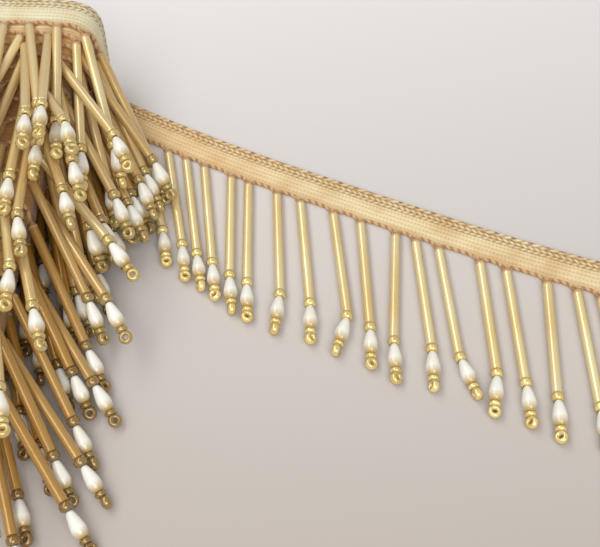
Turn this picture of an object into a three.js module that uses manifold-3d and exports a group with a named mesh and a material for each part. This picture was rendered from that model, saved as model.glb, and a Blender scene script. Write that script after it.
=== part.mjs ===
// A roll of beaded trim: a woven gimp braid with a fringe of bugle-bead and pearl drops.
// The roll lies on its side, its turns slipped out one after another toward the front (-Y), and
// one end comes out from under it on the right and lies flat as a tail.
// Millimetres, +Z up. The origin is on the surface, at the middle of the whole footprint.

import * as THREE from "three";
import { mergeVertices } from "three/addons/utils/BufferGeometryUtils.js";
import Module from "manifold-3d";

const wasm = await Module();
wasm.setup();

// Braid and edging
const BRAID_WIDTH = 8.2;
const BRAID_THICK = 1.5;
const EDGING_WIDTH = 1.5; // the knotted lower edge that carries the drops
const EDGING_THICK = 1.2;
const WOUND_THICK = 0.75; // the edging where the turns press it thin
const TURN_STEP = 1; // how far one wound turn lies inside the one before
const GAP = 0.3; // between pieces that lie against each other
const EDGING_FAR = BRAID_WIDTH + GAP; // from the braid's far edge to the edging
const EDGING_NEAR = EDGING_FAR + EDGING_WIDTH;
const ROOT_LINE = EDGING_FAR + EDGING_WIDTH / 2; // where the drops are knotted in
const ROOT_INSET = 0.3; // of the knots from the outer face of a wound turn

// One drop: thread loop, bugle bead, seed bead, teardrop pearl, seed bead with a stop seed
const LOOP = 2.4;
const BUGLE = 30;
const BUGLE_RADIUS = 1.15;
const SEED = 2;
const PEARL = 6.4;
const END_BEADS = 4.2;
const KNEE = LOOP + BUGLE + SEED / 2; // a drop bends in its upper seed bead
const DROP = LOOP + BUGLE + SEED + PEARL + END_BEADS;
const DROP_PITCH = 6.9;
const PITCH_SHIFT = 0.382; // share of a pitch by which the next turn's drops stand aside

// A drop's three-sided section, from its middle to its corners, along its length
const DROP_SECTION = [
  { along: 0, corner: 0.45 },
  { along: LOOP, corner: 0.8 },
  { along: LOOP + BUGLE, corner: 1 },
  { along: LOOP + BUGLE + SEED + 0.6 * PEARL, corner: 1.6 },
  { along: DROP, corner: 1 },
];

// The two stiff rods of a drop, as round rods that push each other apart
const RODS = [
  { from: LOOP, to: LOOP + BUGLE, radius: BUGLE_RADIUS },
  { from: LOOP + BUGLE + SEED + 0.4, to: DROP - 1.4, radius: 1.7 },
];

// Points of a drop that are kept out of the braid and the floor
const PROBES = [
  { along: 5, radius: 0.45 },
  { along: 9, radius: 1.15 },
  { along: 14, radius: 1.15 },
  { along: 19, radius: 1.15 },
  { along: 24, radius: 1.15 },
  { along: 29, radius: 1.15 },
  { along: 33, radius: 1.3 },
  { along: 36.4, radius: 1.8 },
  { along: 40.4, radius: 1.8 },
  { along: 43.9, radius: 1.75 },
];

// The roll
const ROLL_X = -56.3; // its middle line
const FAR_Y = 74.18; // far edge of the braid where the tail leaves the roll
const FAR_HOLLOW = 6; // the rolled end is a little hollow behind
const TURNS = 15;
const STEPS_PER_TURN = 24;
const OVAL_POWER = 4.5; // 2 is an ellipse, more is squarer
const FLOOR_LIFT = 1.7; // near the surface a point stands this many times its inset above it
const WINDING = [
  { turn: 0, slip: 0, halfWidth: 22.4, bottom: -0.3, top: 31 },
  { turn: 0.5, slip: 2, halfWidth: 22, bottom: 1.1, top: 30.8 },
  { turn: 1, slip: 3.2, halfWidth: 21.4, bottom: 2.5, top: 30.2 },
  { turn: 2, slip: 5.8, halfWidth: 20.3, bottom: 3.8, top: 29.2 },
  { turn: 3, slip: 8.6, halfWidth: 19.2, bottom: 5, top: 28.2 },
  { turn: 4, slip: 12, halfWidth: 18.1, bottom: 6.1, top: 27.2 },
  { turn: 5, slip: 16, halfWidth: 17, bottom: 7.1, top: 26.2 },
  { turn: 6, slip: 20.5, halfWidth: 15.9, bottom: 8, top: 25.2 },
  { turn: 7, slip: 26, halfWidth: 14.8, bottom: 8.8, top: 24.3 },
  { turn: 8, slip: 32.5, halfWidth: 13.8, bottom: 9.5, top: 23.5 },
  { turn: 9, slip: 40, halfWidth: 12.8, bottom: 10, top: 22.8 },
  { turn: 10, slip: 48.5, halfWidth: 11.8, bottom: 10.2, top: 22.1 },
  { turn: 11, slip: 57.5, halfWidth: 10.9, bottom: 10.2, top: 21.4 },
  { turn: 12, slip: 67, halfWidth: 10.1, bottom: 10, top: 20.8 },
  { turn: 13, slip: 77, halfWidth: 9.3, bottom: 9.7, top: 20.2 },
  { turn: 14, slip: 87.5, halfWidth: 8.6, bottom: 9.3, top: 19.7 },
  { turn: 15, slip: 98, halfWidth: 8, bottom: 8.8, top: 19.2 },
];
const FRINGE_NODES = [
  { name: "fringe_outer_turns", toTurn: 4 },
  { name: "fringe_middle_turns", toTurn: 9 },
  { name: "fringe_inner_turns", toTurn: TURNS },
];

// The tail: the heading of the braid's far edge, in degrees from +X, along its length
const TAIL_LENGTH = 171;
const TAIL_STEP = 0.5;
const TAIL_RING_STEPS = 6; // path steps between two sections of the tail's solids
const TAIL_HEADING = [
  { along: 0, heading: 0 },
  { along: 10, heading: -11 },
  { along: 20, heading: -33 },
  { along: 40, heading: -29.5 },
  { along: 80, heading: -24.5 },
  { along: 125, heading: -23.5 },
  { along: 175, heading: -18 },
];

// The tail's drops: place along the braid, and the lean of the bugle and of the pearl, in degrees
const TAIL_DROPS = [
  { along: 5, lean: -6, lowerLean: -6 },
  { along: 12.5, lean: 0.5, lowerLean: 0.5 },
  { along: 21, lean: 3, lowerLean: 3 },
  { along: 30.5, lean: 8, lowerLean: 8 },
  { along: 39.5, lean: 14, lowerLean: 10 },
  { along: 47.5, lean: 10.5, lowerLean: 8 },
  { along: 53, lean: 8.5, lowerLean: 9 },
  { along: 58.5, lean: 6.6, lowerLean: 7 },
  { along: 66.5, lean: 1.6, lowerLean: 5 },
  { along: 71.5, lean: 1, lowerLean: 2 },
  { along: 79.5, lean: 2, lowerLean: -7 },
  { along: 86, lean: 4, lowerLean: 0 },
  { along: 95, lean: 5, lowerLean: -17 },
  { along: 102.5, lean: 2, lowerLean: -1 },
  { along: 112, lean: -4, lowerLean: 0 },
  { along: 117, lean: 3, lowerLean: -2 },
  { along: 123, lean: 4, lowerLean: 17 },
  { along: 133.5, lean: 1, lowerLean: -10 },
  { along: 140, lean: 1, lowerLean: 0 },
  { along: 150, lean: -4, lowerLean: -4 },
  { along: 157, lean: 0, lowerLean: -1 },
  { along: 162.5, lean: 2, lowerLean: 1 },
  { along: 168.5, lean: 3, lowerLean: 6 },
];

// Settling of the roll's drops
const SETTLE_STEPS = 480;
const SAG = 0.008; // downward pull per step while the drops fall
const LATE_SAG = 0.0005; // and while they come to rest
const FALL_SHARE = 0.55; // share of the steps in which they fall
const AIM_SHARE = 0.7; // share of the steps in which they keep their first aim
const AIM_PULL = 0.04;
const STRAIGHTEN = 0.06; // pull of the lower rod toward the bugle's line
const LOWER_EASE = 3; // how much more easily the lower rod turns
const TURN_INERTIA = 30;
const BRAID_CLEAR = 0.3;
const OVER_TAIL = 1.8; // height at which a drop passes over the tail's braid

const lerpTable = (rows, key, at, column) => {
  const last = rows.length - 1;
  if (at <= rows[0][key]) return rows[0][column];
  if (at >= rows[last][key]) return rows[last][column];
  const i = rows.findIndex((row) => row[key] > at) - 1;
  const share = (at - rows[i][key]) / (rows[i + 1][key] - rows[i][key]);
  return rows[i][column] + share * (rows[i + 1][column] - rows[i][column]);
};

// An even scatter between -1 and 1, the same on each run
const scatter = (index, channel) => {
  const wave = Math.sin(index * 12.9898 + channel * 78.233) * 43758.5453;
  return 2 * (wave - Math.floor(wave)) - 1;
};

const signedPower = (value, power) =>
  Math.sign(value) * Math.abs(value) ** power;

function windingAt(turn) {
  const at = (column) => lerpTable(WINDING, "turn", turn, column);
  const bottom = at("bottom");
  const top = at("top");
  return {
    farEdge: FAR_Y - at("slip"),
    halfWidth: at("halfWidth"),
    halfHeight: (top - bottom) / 2,
    middle: (top + bottom) / 2,
  };
}

// A point of the wound braid: inset from its outer face, and back from its far edge.
// The turns start under the roll and run round by the left side.
function woundPoint(turn, inset, back) {
  const { farEdge, halfWidth, halfHeight, middle } = windingAt(turn);
  const angle = -Math.PI / 2 - 2 * Math.PI * turn;
  const c = Math.cos(angle);
  const s = Math.sin(angle);
  const reach =
    (Math.abs(c) ** OVAL_POWER + Math.abs(s) ** OVAL_POWER) **
    (-1 / OVAL_POWER);
  return new THREE.Vector3(
    ROLL_X + (halfWidth - inset) * reach * c,
    farEdge - back,
    Math.max(middle + (halfHeight - inset) * reach * s, FLOOR_LIFT * inset),
  );
}

function solidFrom(points, faces) {
  const geometry = new THREE.BufferGeometry();
  geometry.setAttribute(
    "position",
    new THREE.Float32BufferAttribute(
      points.flatMap((p) => [p.x, p.y, p.z]),
      3,
    ),
  );
  geometry.setIndex(faces.flat());
  return geometry;
}

// A solid that runs through a list of rings with the same number of points.
// The rings turn clockwise when seen from the far end of the run.
function loft(rings) {
  const sides = rings[0].length;
  const faces = [];
  for (let r = 0; r + 1 < rings.length; r++) {
    for (let k = 0; k < sides; k++) {
      const a = r * sides + k;
      const b = r * sides + ((k + 1) % sides);
      faces.push([a, b + sides, b], [a, a + sides, b + sides]);
    }
  }
  const last = (rings.length - 1) * sides;
  for (let k = 1; k + 1 < sides; k++) {
    faces.push([0, k, k + 1], [last, last + k + 1, last + k]);
  }
  return solidFrom(rings.flat(), faces);
}

function manifoldOf(geometry) {
  const merged = mergeVertices(geometry, 1e-4);
  return new wasm.Manifold(
    new wasm.Mesh({
      numProp: 3,
      vertProperties: merged.attributes.position.array,
      triVerts: new Uint32Array(merged.index.array),
    }),
  );
}

function geometryOf(manifold) {
  const { numProp, numVert, vertProperties, triVerts } = manifold.getMesh();
  const positions = new Float32Array(numVert * 3);
  for (let v = 0; v < numVert; v++) {
    positions.set(
      vertProperties.subarray(v * numProp, v * numProp + 3),
      v * 3,
    );
  }
  return new THREE.BufferGeometry()
    .setAttribute("position", new THREE.BufferAttribute(positions, 3))
    .setIndex(new THREE.BufferAttribute(triVerts, 1));
}

// The tail's far edge as a path of short steps, each with its place and its heading
function tailPath() {
  const path = [];
  let x = ROLL_X;
  let y = FAR_Y;
  for (let along = 0; along <= TAIL_LENGTH; along += TAIL_STEP) {
    const here = lerpTable(TAIL_HEADING, "along", along, "heading");
    path.push({ x, y, heading: THREE.MathUtils.degToRad(here) });
    const ahead = lerpTable(
      TAIL_HEADING,
      "along",
      along + TAIL_STEP / 2,
      "heading",
    );
    x += TAIL_STEP * Math.cos(THREE.MathUtils.degToRad(ahead));
    y += TAIL_STEP * Math.sin(THREE.MathUtils.degToRad(ahead));
  }
  return path;
}

const TAIL_PATH = tailPath();

function tailPoint(step, back, height) {
  const { x, y, heading } = TAIL_PATH[step];
  return new THREE.Vector3(
    x + back * Math.sin(heading),
    y - back * Math.cos(heading),
    height,
  );
}

// A flat strip of the tail, from one distance behind its far edge to another
function tailStrip(from, to, thick) {
  const rings = [];
  for (let step = 1; step < TAIL_PATH.length; step += TAIL_RING_STEPS) {
    rings.push([
      tailPoint(step, from, 0),
      tailPoint(step, to, 0),
      tailPoint(step, to, thick),
      tailPoint(step, from, thick),
    ]);
  }
  return loft(rings);
}

// The wound braid: one solid whose outer face steps in from each turn to the next
function woundBraid() {
  const last = TURNS * STEPS_PER_TURN;
  const rows = [
    { inset: 0, back: BRAID_WIDTH },
    { inset: TURN_STEP, back: BRAID_WIDTH },
    { inset: TURN_STEP, back: EDGING_NEAR + GAP },
  ];
  const points = [];
  for (let i = 0; i <= last; i++) {
    for (const { inset, back } of rows) {
      points.push(woundPoint(i / STEPS_PER_TURN, inset, back));
    }
  }
  const farStart = points.length;
  for (let i = 0; i <= STEPS_PER_TURN; i++) {
    points.push(woundPoint(i / STEPS_PER_TURN, 0, 0));
  }
  const first = windingAt(0);
  const end = windingAt(TURNS);
  const farMiddle = points.length;
  points.push(
    new THREE.Vector3(ROLL_X, first.farEdge - FAR_HOLLOW, first.middle),
  );
  const nearMiddle = points.length;
  points.push(
    new THREE.Vector3(ROLL_X, end.farEdge - EDGING_NEAR - 1, end.middle),
  );

  const row = (i, k) => 3 * i + k;
  const far = (i) => farStart + i;
  const faces = [];
  const quad = (a, b, c, d) => faces.push([a, c, b], [a, d, c]);
  for (let i = 0; i < last; i++) {
    quad(row(i, 0), row(i + 1, 0), row(i + 1, 1), row(i, 1));
    quad(row(i, 1), row(i + 1, 1), row(i + 1, 2), row(i, 2));
    const below = i + STEPS_PER_TURN;
    if (below < last)
      quad(row(i, 2), row(i + 1, 2), row(below + 1, 0), row(below, 0));
    else faces.push([row(i, 2), nearMiddle, row(i + 1, 2)]);
  }
  for (let i = 0; i < STEPS_PER_TURN; i++) {
    quad(far(i), far(i + 1), row(i + 1, 0), row(i, 0));
    if (i > 0) faces.push([farMiddle, far(i), far(i + 1)]);
  }
  const seam = far(STEPS_PER_TURN);
  faces.push([farMiddle, seam, far(1)], [seam, far(0), far(1)]);
  // Fills a loop of points that share one x, facing +X (1) or -X (-1)
  const flatFace = (loop, facing) => {
    const outline = loop.map(
      (index) => new THREE.Vector2(points[index].y, points[index].z),
    );
    for (const [a, b, c] of THREE.ShapeUtils.triangulateShape(outline, [])) {
      const area = THREE.ShapeUtils.area([outline[a], outline[b], outline[c]]);
      faces.push(
        facing * area < 0
          ? [loop[a], loop[c], loop[b]]
          : [loop[a], loop[b], loop[c]],
      );
    }
  };
  const nextRow = row(STEPS_PER_TURN, 0);
  flatFace([far(0), row(0, 0), row(0, 1), row(0, 2), nextRow, seam], 1);
  const lastRow = row(last - STEPS_PER_TURN, 2);
  flatFace([lastRow, row(last, 0), row(last, 1), row(last, 2), nearMiddle], -1);
  return solidFrom(points, faces);
}

// The edging of the wound turns between two turn counts
function woundEdging(fromTurn, toTurn) {
  const clear = 0.002;
  const start = Math.floor(fromTurn * STEPS_PER_TURN);
  const end = Math.ceil(toTurn * STEPS_PER_TURN);
  const rings = [];
  for (let i = start; i <= end; i++) {
    const turn = Math.min(
      Math.max(i / STEPS_PER_TURN, fromTurn + clear),
      toTurn - clear,
    );
    rings.push([
      woundPoint(turn, 0, EDGING_FAR),
      woundPoint(turn, WOUND_THICK, EDGING_FAR),
      woundPoint(turn, WOUND_THICK, EDGING_NEAR),
      woundPoint(turn, 0, EDGING_NEAR),
    ]);
  }
  return loft(rings);
}

// Where the roll's drops are knotted in, at an even pitch in which neighbouring turns miss each other
function woundRoots() {
  const line = [];
  const lengths = [0];
  for (let i = 0; i <= TURNS * STEPS_PER_TURN; i++) {
    line.push(woundPoint(i / STEPS_PER_TURN, ROOT_INSET, ROOT_LINE));
    if (i > 0) lengths.push(lengths[i - 1] + line[i].distanceTo(line[i - 1]));
  }
  const total = lengths[lengths.length - 1];
  const roots = [];
  let along = 5;
  while (along < total - 4) {
    const index = roots.length;
    const place = along + 0.35 * scatter(index, 1);
    const i = lengths.findIndex((length) => length > place) - 1;
    const share = (place - lengths[i]) / (lengths[i + 1] - lengths[i]);
    const turn = (i + share) / STEPS_PER_TURN;
    const { halfWidth, halfHeight, middle } = windingAt(turn);
    const point = line[i].clone().lerp(line[i + 1], share);
    const across = (point.x - ROLL_X) / halfWidth;
    const up = (point.z - middle) / halfHeight;
    const outward = new THREE.Vector3(
      signedPower(across, OVAL_POWER - 1) / halfWidth,
      0,
      signedPower(up, OVAL_POWER - 1) / halfHeight,
    ).normalize();
    roots.push({ turn, point, outward });
    const whole = Math.min(Math.floor(turn), TURNS - 1) * STEPS_PER_TURN;
    const round = lengths[whole + STEPS_PER_TURN] - lengths[whole];
    along += round / (Math.round(round / DROP_PITCH) + PITCH_SHIFT);
  }
  return roots;
}

// The roll's drops before they fall: each aims forward and a little outward
function aimedDrops() {
  return woundRoots().map(({ turn, point, outward }, index) => {
    const inner = turn / TURNS;
    const side = Math.abs(outward.x);
    const across = (point.x - ROLL_X) / windingAt(turn).halfWidth;
    const flare = THREE.MathUtils.degToRad(
      (2 + 24 * inner) * across + 9 * outward.x,
    );
    const fall = Math.min(
      (point.z - 1.7) / DROP,
      0.12 + 0.16 * side + 0.2 * inner,
    );
    const sway =
      0.02 +
      THREE.MathUtils.degToRad(1.5 + 5 * inner) * scatter(index, 2);
    const aim = new THREE.Vector3(
      Math.sin(flare) + sway,
      -Math.cos(flare),
      -fall,
    ).normalize();
    const root = point.clone();
    root.z = Math.max(root.z, BUGLE_RADIUS);
    return {
      turn,
      knot: point,
      root,
      outward,
      upper: aim.clone(),
      lower: aim.clone(),
      aimX: aim.x,
      free: true,
    };
  });
}

function tailDrops() {
  const leaning = (degrees) => {
    const lean = THREE.MathUtils.degToRad(degrees);
    return new THREE.Vector3(Math.sin(lean), -Math.cos(lean), 0);
  };
  return TAIL_DROPS.map(({ along, lean, lowerLean }) => ({
    root: tailPoint(along / TAIL_STEP, ROOT_LINE, EDGING_THICK / 2),
    upper: leaning(lean),
    lower: leaning(lowerLean),
    free: false,
  }));
}

const pointAlong = ({ root, upper, lower }, along) =>
  root
    .clone()
    .addScaledVector(upper, Math.min(along, KNEE))
    .addScaledVector(lower, Math.max(along - KNEE, 0));

// The nearest places of two straight rods, as shares of their lengths
function nearestShares(startA, runA, startB, runB) {
  const between = startA.clone().sub(startB);
  const aa = runA.dot(runA);
  const bb = runB.dot(runB);
  const ab = runA.dot(runB);
  const aBetween = runA.dot(between);
  const bBetween = runB.dot(between);
  const spread = aa * bb - ab * ab;
  const clamp = (value) => THREE.MathUtils.clamp(value, 0, 1);
  let shareA =
    spread > 1e-9 ? clamp((ab * bBetween - aBetween * bb) / spread) : 0.5;
  const wanted = (ab * shareA + bBetween) / bb;
  const shareB = clamp(wanted);
  if (wanted !== shareB) shareA = clamp((ab * shareB - aBetween) / aa);
  return [shareA, shareB];
}

// Turns a drop's two rods so that its point at a place along it moves by a push
function pushDrop(drop, along, push) {
  const onUpper = Math.min(along, KNEE);
  const onLower = Math.max(along - KNEE, 0);
  const ease = onUpper ** 2 + onLower ** 2 + TURN_INERTIA;
  drop.turnUpper.addScaledVector(push, onUpper / ease);
  drop.turnLower.addScaledVector(push, (LOWER_EASE * onLower) / ease);
  drop.touches += 1;
}

function partRods(a, b) {
  for (const rodA of RODS) {
    for (const rodB of RODS) {
      const startA = pointAlong(a, rodA.from);
      const startB = pointAlong(b, rodB.from);
      const runA = pointAlong(a, rodA.to).sub(startA);
      const runB = pointAlong(b, rodB.to).sub(startB);
      const [shareA, shareB] = nearestShares(startA, runA, startB, runB);
      const apart = startA
        .clone()
        .addScaledVector(runA, shareA)
        .sub(startB.clone().addScaledVector(runB, shareB));
      const distance = apart.length();
      const needed = rodA.radius + rodB.radius;
      if (distance >= needed) continue;
      apart.z += 1e-3;
      apart.multiplyScalar((0.5 * (needed - distance)) / Math.max(distance, 1e-3));
      pushDrop(a, rodA.from + shareA * (rodA.to - rodA.from), apart);
      pushDrop(b, rodB.from + shareB * (rodB.to - rodB.from), apart.negate());
    }
  }
}

// The height of what lies on the surface under a point: the tail's braid, or nothing
function floorUnder(point) {
  const step = Math.round((point.x - ROLL_X) / TAIL_STEP);
  if (step < 0 || step >= TAIL_PATH.length) return 0;
  const nearest = TAIL_PATH[step];
  const back = (nearest.y - point.y) * Math.cos(nearest.heading);
  return back > 0 && back < EDGING_NEAR ? OVER_TAIL : 0;
}

// How far a point of a drop has to move to clear the wound braid and the floor
function clearBraidAndFloor(point, radius) {
  const push = new THREE.Vector3();
  const slip = FAR_Y - EDGING_NEAR - point.y;
  const turn = lerpTable(WINDING, "slip", slip, "turn");
  const { halfWidth, halfHeight, middle } = windingAt(turn);
  const width = halfWidth + radius + BRAID_CLEAR;
  const height = halfHeight + radius + BRAID_CLEAR;
  const across = (point.x - ROLL_X) / width;
  const up = (point.z - middle) / height;
  const reach =
    (Math.abs(across) ** OVAL_POWER + Math.abs(up) ** OVAL_POWER) **
    (1 / OVAL_POWER);
  const lastSlip = WINDING[WINDING.length - 1].slip;
  if (reach < 1 && slip < lastSlip + 1) {
    const outward = new THREE.Vector3(
      signedPower(across, OVAL_POWER - 1) / width,
      0,
      signedPower(up, OVAL_POWER - 1) / height,
    ).normalize();
    const depth = Math.min((1 - reach) * Math.min(width, height), 1);
    push.addScaledVector(outward, depth);
  }
  push.z += Math.max(radius + floorUnder(point) - point.z, 0);
  return push;
}

function boundsOf(drop) {
  return new THREE.Box3()
    .setFromPoints([drop.root, pointAlong(drop, KNEE), pointAlong(drop, DROP)])
    .expandByScalar(2.5);
}

// Lets the free drops sink, keeping them out of each other, of the braid and of the floor
function settle(drops) {
  for (let step = 0; step < SETTLE_STEPS; step++) {
    const sag = step < FALL_SHARE * SETTLE_STEPS ? SAG : LATE_SAG;
    const aiming = step < AIM_SHARE * SETTLE_STEPS;
    const gain = aiming ? 0.9 : 1.6;
    for (const drop of drops) {
      drop.turnUpper = new THREE.Vector3();
      drop.turnLower = new THREE.Vector3();
      drop.touches = 0;
      if (!drop.free) continue;
      drop.upper.z -= sag;
      drop.lower.z -= 1.5 * sag;
      if (aiming) {
        drop.upper.x += AIM_PULL * (drop.aimX - drop.upper.x);
        drop.lower.lerp(drop.upper, STRAIGHTEN);
      }
      drop.upper.normalize();
      drop.lower.normalize();
    }
    const boxes = drops.map(boundsOf);
    for (let a = 0; a < drops.length; a++) {
      for (let b = a + 1; b < drops.length; b++) {
        const either = drops[a].free || drops[b].free;
        if (either && boxes[a].intersectsBox(boxes[b]))
          partRods(drops[a], drops[b]);
      }
    }
    for (const drop of drops) {
      if (!drop.free) continue;
      for (const { along, radius } of PROBES) {
        const push = clearBraidAndFloor(pointAlong(drop, along), radius);
        if (push.lengthSq() > 0) pushDrop(drop, along, push);
      }
    }
    for (const drop of drops) {
      if (!drop.free) continue;
      const share = gain / Math.max(1, drop.touches / 2);
      drop.upper.addScaledVector(drop.turnUpper, share).normalize();
      drop.lower.addScaledVector(drop.turnLower, share).normalize();
    }
  }
  return drops;
}

// A three-sided section across a drop's line, with a corner toward "facing"
function threeSided(centre, line, facing, corner) {
  const side = new THREE.Vector3().crossVectors(line, facing).normalize();
  const face = new THREE.Vector3().crossVectors(side, line).normalize();
  return [90, -30, 210].map((degrees) => {
    const angle = THREE.MathUtils.degToRad(degrees);
    return centre
      .clone()
      .addScaledVector(side, -corner * Math.cos(angle))
      .addScaledVector(face, corner * Math.sin(angle));
  });
}

// One strand of the roll, along its settled line
function settledStrand(drop) {
  const rings = DROP_SECTION.map(({ along, corner }) => {
    const line = along > KNEE ? drop.lower : drop.upper;
    const centre = along > 0 ? pointAlong(drop, along) : drop.knot;
    return threeSided(centre, line, drop.outward, corner);
  });
  return loft(rings);
}

// One strand of the tail, lying level with a flat side on the surface
function lyingStrand(drop) {
  const up = new THREE.Vector3(0, 0, 1);
  const rings = DROP_SECTION.map(({ along, corner }) => {
    const line = along > KNEE ? drop.lower : drop.upper;
    const centre = pointAlong(drop, along);
    centre.z = along > 0 ? corner / 2 : drop.root.z;
    return threeSided(centre, line, up, corner);
  });
  return loft(rings);
}

// An edging with its strands fused to it
function fringe(edging, strands) {
  const whole = strands.reduce(
    (solid, strand) => solid.add(manifoldOf(strand)),
    manifoldOf(edging),
  );
  return geometryOf(whole);
}

// Each part of the wound edging ends midway between two drops
function cutTurns(drops) {
  return FRINGE_NODES.map(({ toTurn }) => {
    const next = drops.findIndex(({ turn }) => turn > toTurn);
    return next < 0 ? TURNS : (drops[next].turn + drops[next - 1].turn) / 2;
  });
}

const GIMP = { color: 0xcfa868, roughness: 0.75, metalness: 0.1 };
const BEADS = { color: 0xd9b56c, roughness: 0.3, metalness: 0.35 };

function piece(name, geometry, look) {
  const mesh = new THREE.Mesh(geometry, new THREE.MeshStandardMaterial(look));
  mesh.name = name;
  return mesh;
}

const drops = settle([...aimedDrops(), ...tailDrops()]);
const rollDrops = drops.filter(({ free }) => free);
const lyingDrops = drops.filter(({ free }) => !free);
const cuts = cutTurns(rollDrops);

const roll = new THREE.Group();
roll.add(piece("wound_braid", woundBraid(), GIMP));
FRINGE_NODES.forEach(({ name }, index) => {
  const from = index === 0 ? 0 : cuts[index - 1];
  const to = cuts[index];
  const strands = rollDrops
    .filter(({ turn }) => turn > from && turn <= to)
    .map(settledStrand);
  roll.add(piece(name, fringe(woundEdging(from, to), strands), BEADS));
});

const tail = new THREE.Group();
tail.add(piece("tail_braid", tailStrip(0, BRAID_WIDTH, BRAID_THICK), GIMP));
const tailEdging = tailStrip(EDGING_FAR, EDGING_NEAR, EDGING_THICK);
tail.add(
  piece("tail_fringe", fringe(tailEdging, lyingDrops.map(lyingStrand)), BEADS),
);

const trim = new THREE.Group();
trim.add(roll, tail);

export default trim;
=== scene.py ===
"""Looks of a roll of beaded trim: gimp braid with a fringe of bugle-bead and pearl drops.

The roll lies on its side with its turns slipped out toward the front, and one end of the braid lies
flat on the surface as a tail. The drops are settled here in the same way as the solids' strands.
Sizes are in millimetres and become metres when a mesh is made.
"""

import logging
import math
from dataclasses import dataclass, field
from enum import Enum, IntEnum

import bpy
import numpy as np
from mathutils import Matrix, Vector

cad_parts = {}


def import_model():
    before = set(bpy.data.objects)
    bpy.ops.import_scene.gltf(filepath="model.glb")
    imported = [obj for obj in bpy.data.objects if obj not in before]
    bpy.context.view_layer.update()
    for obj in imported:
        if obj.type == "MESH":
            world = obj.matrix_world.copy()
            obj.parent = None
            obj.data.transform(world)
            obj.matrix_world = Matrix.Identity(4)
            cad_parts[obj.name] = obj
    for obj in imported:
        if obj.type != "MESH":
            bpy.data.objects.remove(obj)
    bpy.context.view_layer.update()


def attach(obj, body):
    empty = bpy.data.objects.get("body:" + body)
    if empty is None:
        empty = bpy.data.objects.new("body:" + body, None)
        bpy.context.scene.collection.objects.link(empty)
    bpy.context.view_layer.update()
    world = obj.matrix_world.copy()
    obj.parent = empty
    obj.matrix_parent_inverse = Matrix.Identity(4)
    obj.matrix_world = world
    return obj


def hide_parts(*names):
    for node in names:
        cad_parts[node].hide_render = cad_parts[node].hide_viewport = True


LOG = logging.getLogger("beaded_trim")
MM = 0.001
FLOOR_GAP = 0.02
NOISE_SPAN = (0.35, 0.68)
# a face's corners in the order that turns it to face the other way
OTHER_WAY = [0, 3, 2, 1]
UP = np.array([0.0, 0.0, 1.0])


def unit(vectors: np.ndarray) -> np.ndarray:
    """Each vector divided by its own length."""
    return vectors / np.linalg.norm(vectors, axis=-1, keepdims=True)


class Chance(IntEnum):
    """What is left to chance, each with a row of values of its own."""

    PLACE = 1
    SWAY = 2
    BEAD_TURN = 5
    BEAD_SIZE = 6
    STOP_TURN = 8
    SHADE = 9


def scatter(index: np.ndarray, chance: Chance) -> np.ndarray:
    """An even scatter between -1 and 1: twice the fraction of a large sine, less one.

    Args:
        index: Whole numbers, one for each value wanted.
        chance: What the values are for.

    Returns:
        One value for each number.
    """
    wave = np.sin(np.asarray(index) * 12.9898 + chance * 78.233) * 43758.5453
    return 2 * (wave - np.floor(wave)) - 1


def mesh_object(
    name: str,
    points: np.ndarray,
    quads: np.ndarray,
    uv: np.ndarray | None = None,
    tone: np.ndarray | None = None,
    sharp_degrees: float = 180.0,
) -> bpy.types.Object:
    """Makes a smooth-shaded mesh object from whole arrays.

    Args:
        name: Name of the object.
        points: (N, 3) places in millimetres.
        quads: (M, 4) corner numbers of the faces.
        uv: (N, 2) map values of the points, if the finish reads them.
        tone: (N,) tint of the points, if the finish reads it.
        sharp_degrees: Edges that turn by more than this stay sharp.

    Returns:
        The object, at the origin.
    """
    mesh = bpy.data.meshes.new(name)
    mesh.vertices.add(len(points))
    mesh.vertices.foreach_set("co", (points * MM).astype(np.float32).ravel())
    mesh.loops.add(quads.size)
    mesh.loops.foreach_set("vertex_index", quads.astype(np.int32).ravel())
    mesh.polygons.add(len(quads))
    starts = np.arange(0, quads.size, quads.shape[1], dtype=np.int32)
    mesh.polygons.foreach_set("loop_start", starts)
    if uv is not None:
        layer = mesh.uv_layers.new(name="UVMap")
        layer.data.foreach_set("uv", uv[quads.ravel()].astype(np.float32).ravel())
    if tone is not None:
        layer = mesh.attributes.new("tone", "FLOAT", "POINT")
        layer.data.foreach_set("value", tone.astype(np.float32))
    mesh.update(calc_edges=True)
    mesh.validate()
    mesh.polygons.foreach_set("use_smooth", np.ones(len(mesh.polygons), dtype=bool))
    if sharp_degrees < 180:
        mesh.set_sharp_from_angle(angle=math.radians(sharp_degrees))
    piece = bpy.data.objects.new(name, mesh)
    bpy.context.collection.objects.link(piece)
    return piece


def grid_quads(
    rows: int, columns: int, round_rows: bool = False, round_columns: bool = False, start: int = 0
) -> np.ndarray:
    """Faces of a grid of points: each joins (row, column) to the next row and the next column.

    Args:
        rows: Number of rows of points.
        columns: Number of points in a row.
        round_rows: The last row joins the first.
        round_columns: The last point of a row joins its first.
        start: Number of the grid's first point.

    Returns:
        (M, 4) corner numbers.
    """
    row = np.arange(rows if round_rows else rows - 1)[:, None]
    column = np.arange(columns if round_columns else columns - 1)[None]
    ahead, after = (row + 1) % rows, (column + 1) % columns
    corners = [row * columns + column, ahead * columns + column]
    corners += [ahead * columns + after, row * columns + after]
    return start + np.stack(corners, axis=-1).reshape(-1, 4)


def repeated(quads: np.ndarray, each: int, count: int) -> np.ndarray:
    """The faces of one shape, repeated for shapes of "each" points that follow one another."""
    shift = each * np.arange(count)[:, None, None]
    return (quads[None] + shift).reshape(-1, quads.shape[1])


def above_floor(points: np.ndarray) -> np.ndarray:
    """The points with none of them below the surface that the trim lies on."""
    height = np.maximum(points[..., 2:], FLOOR_GAP)
    return np.concatenate([points[..., :2], height], axis=-1)


# Where the braid runs


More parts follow.
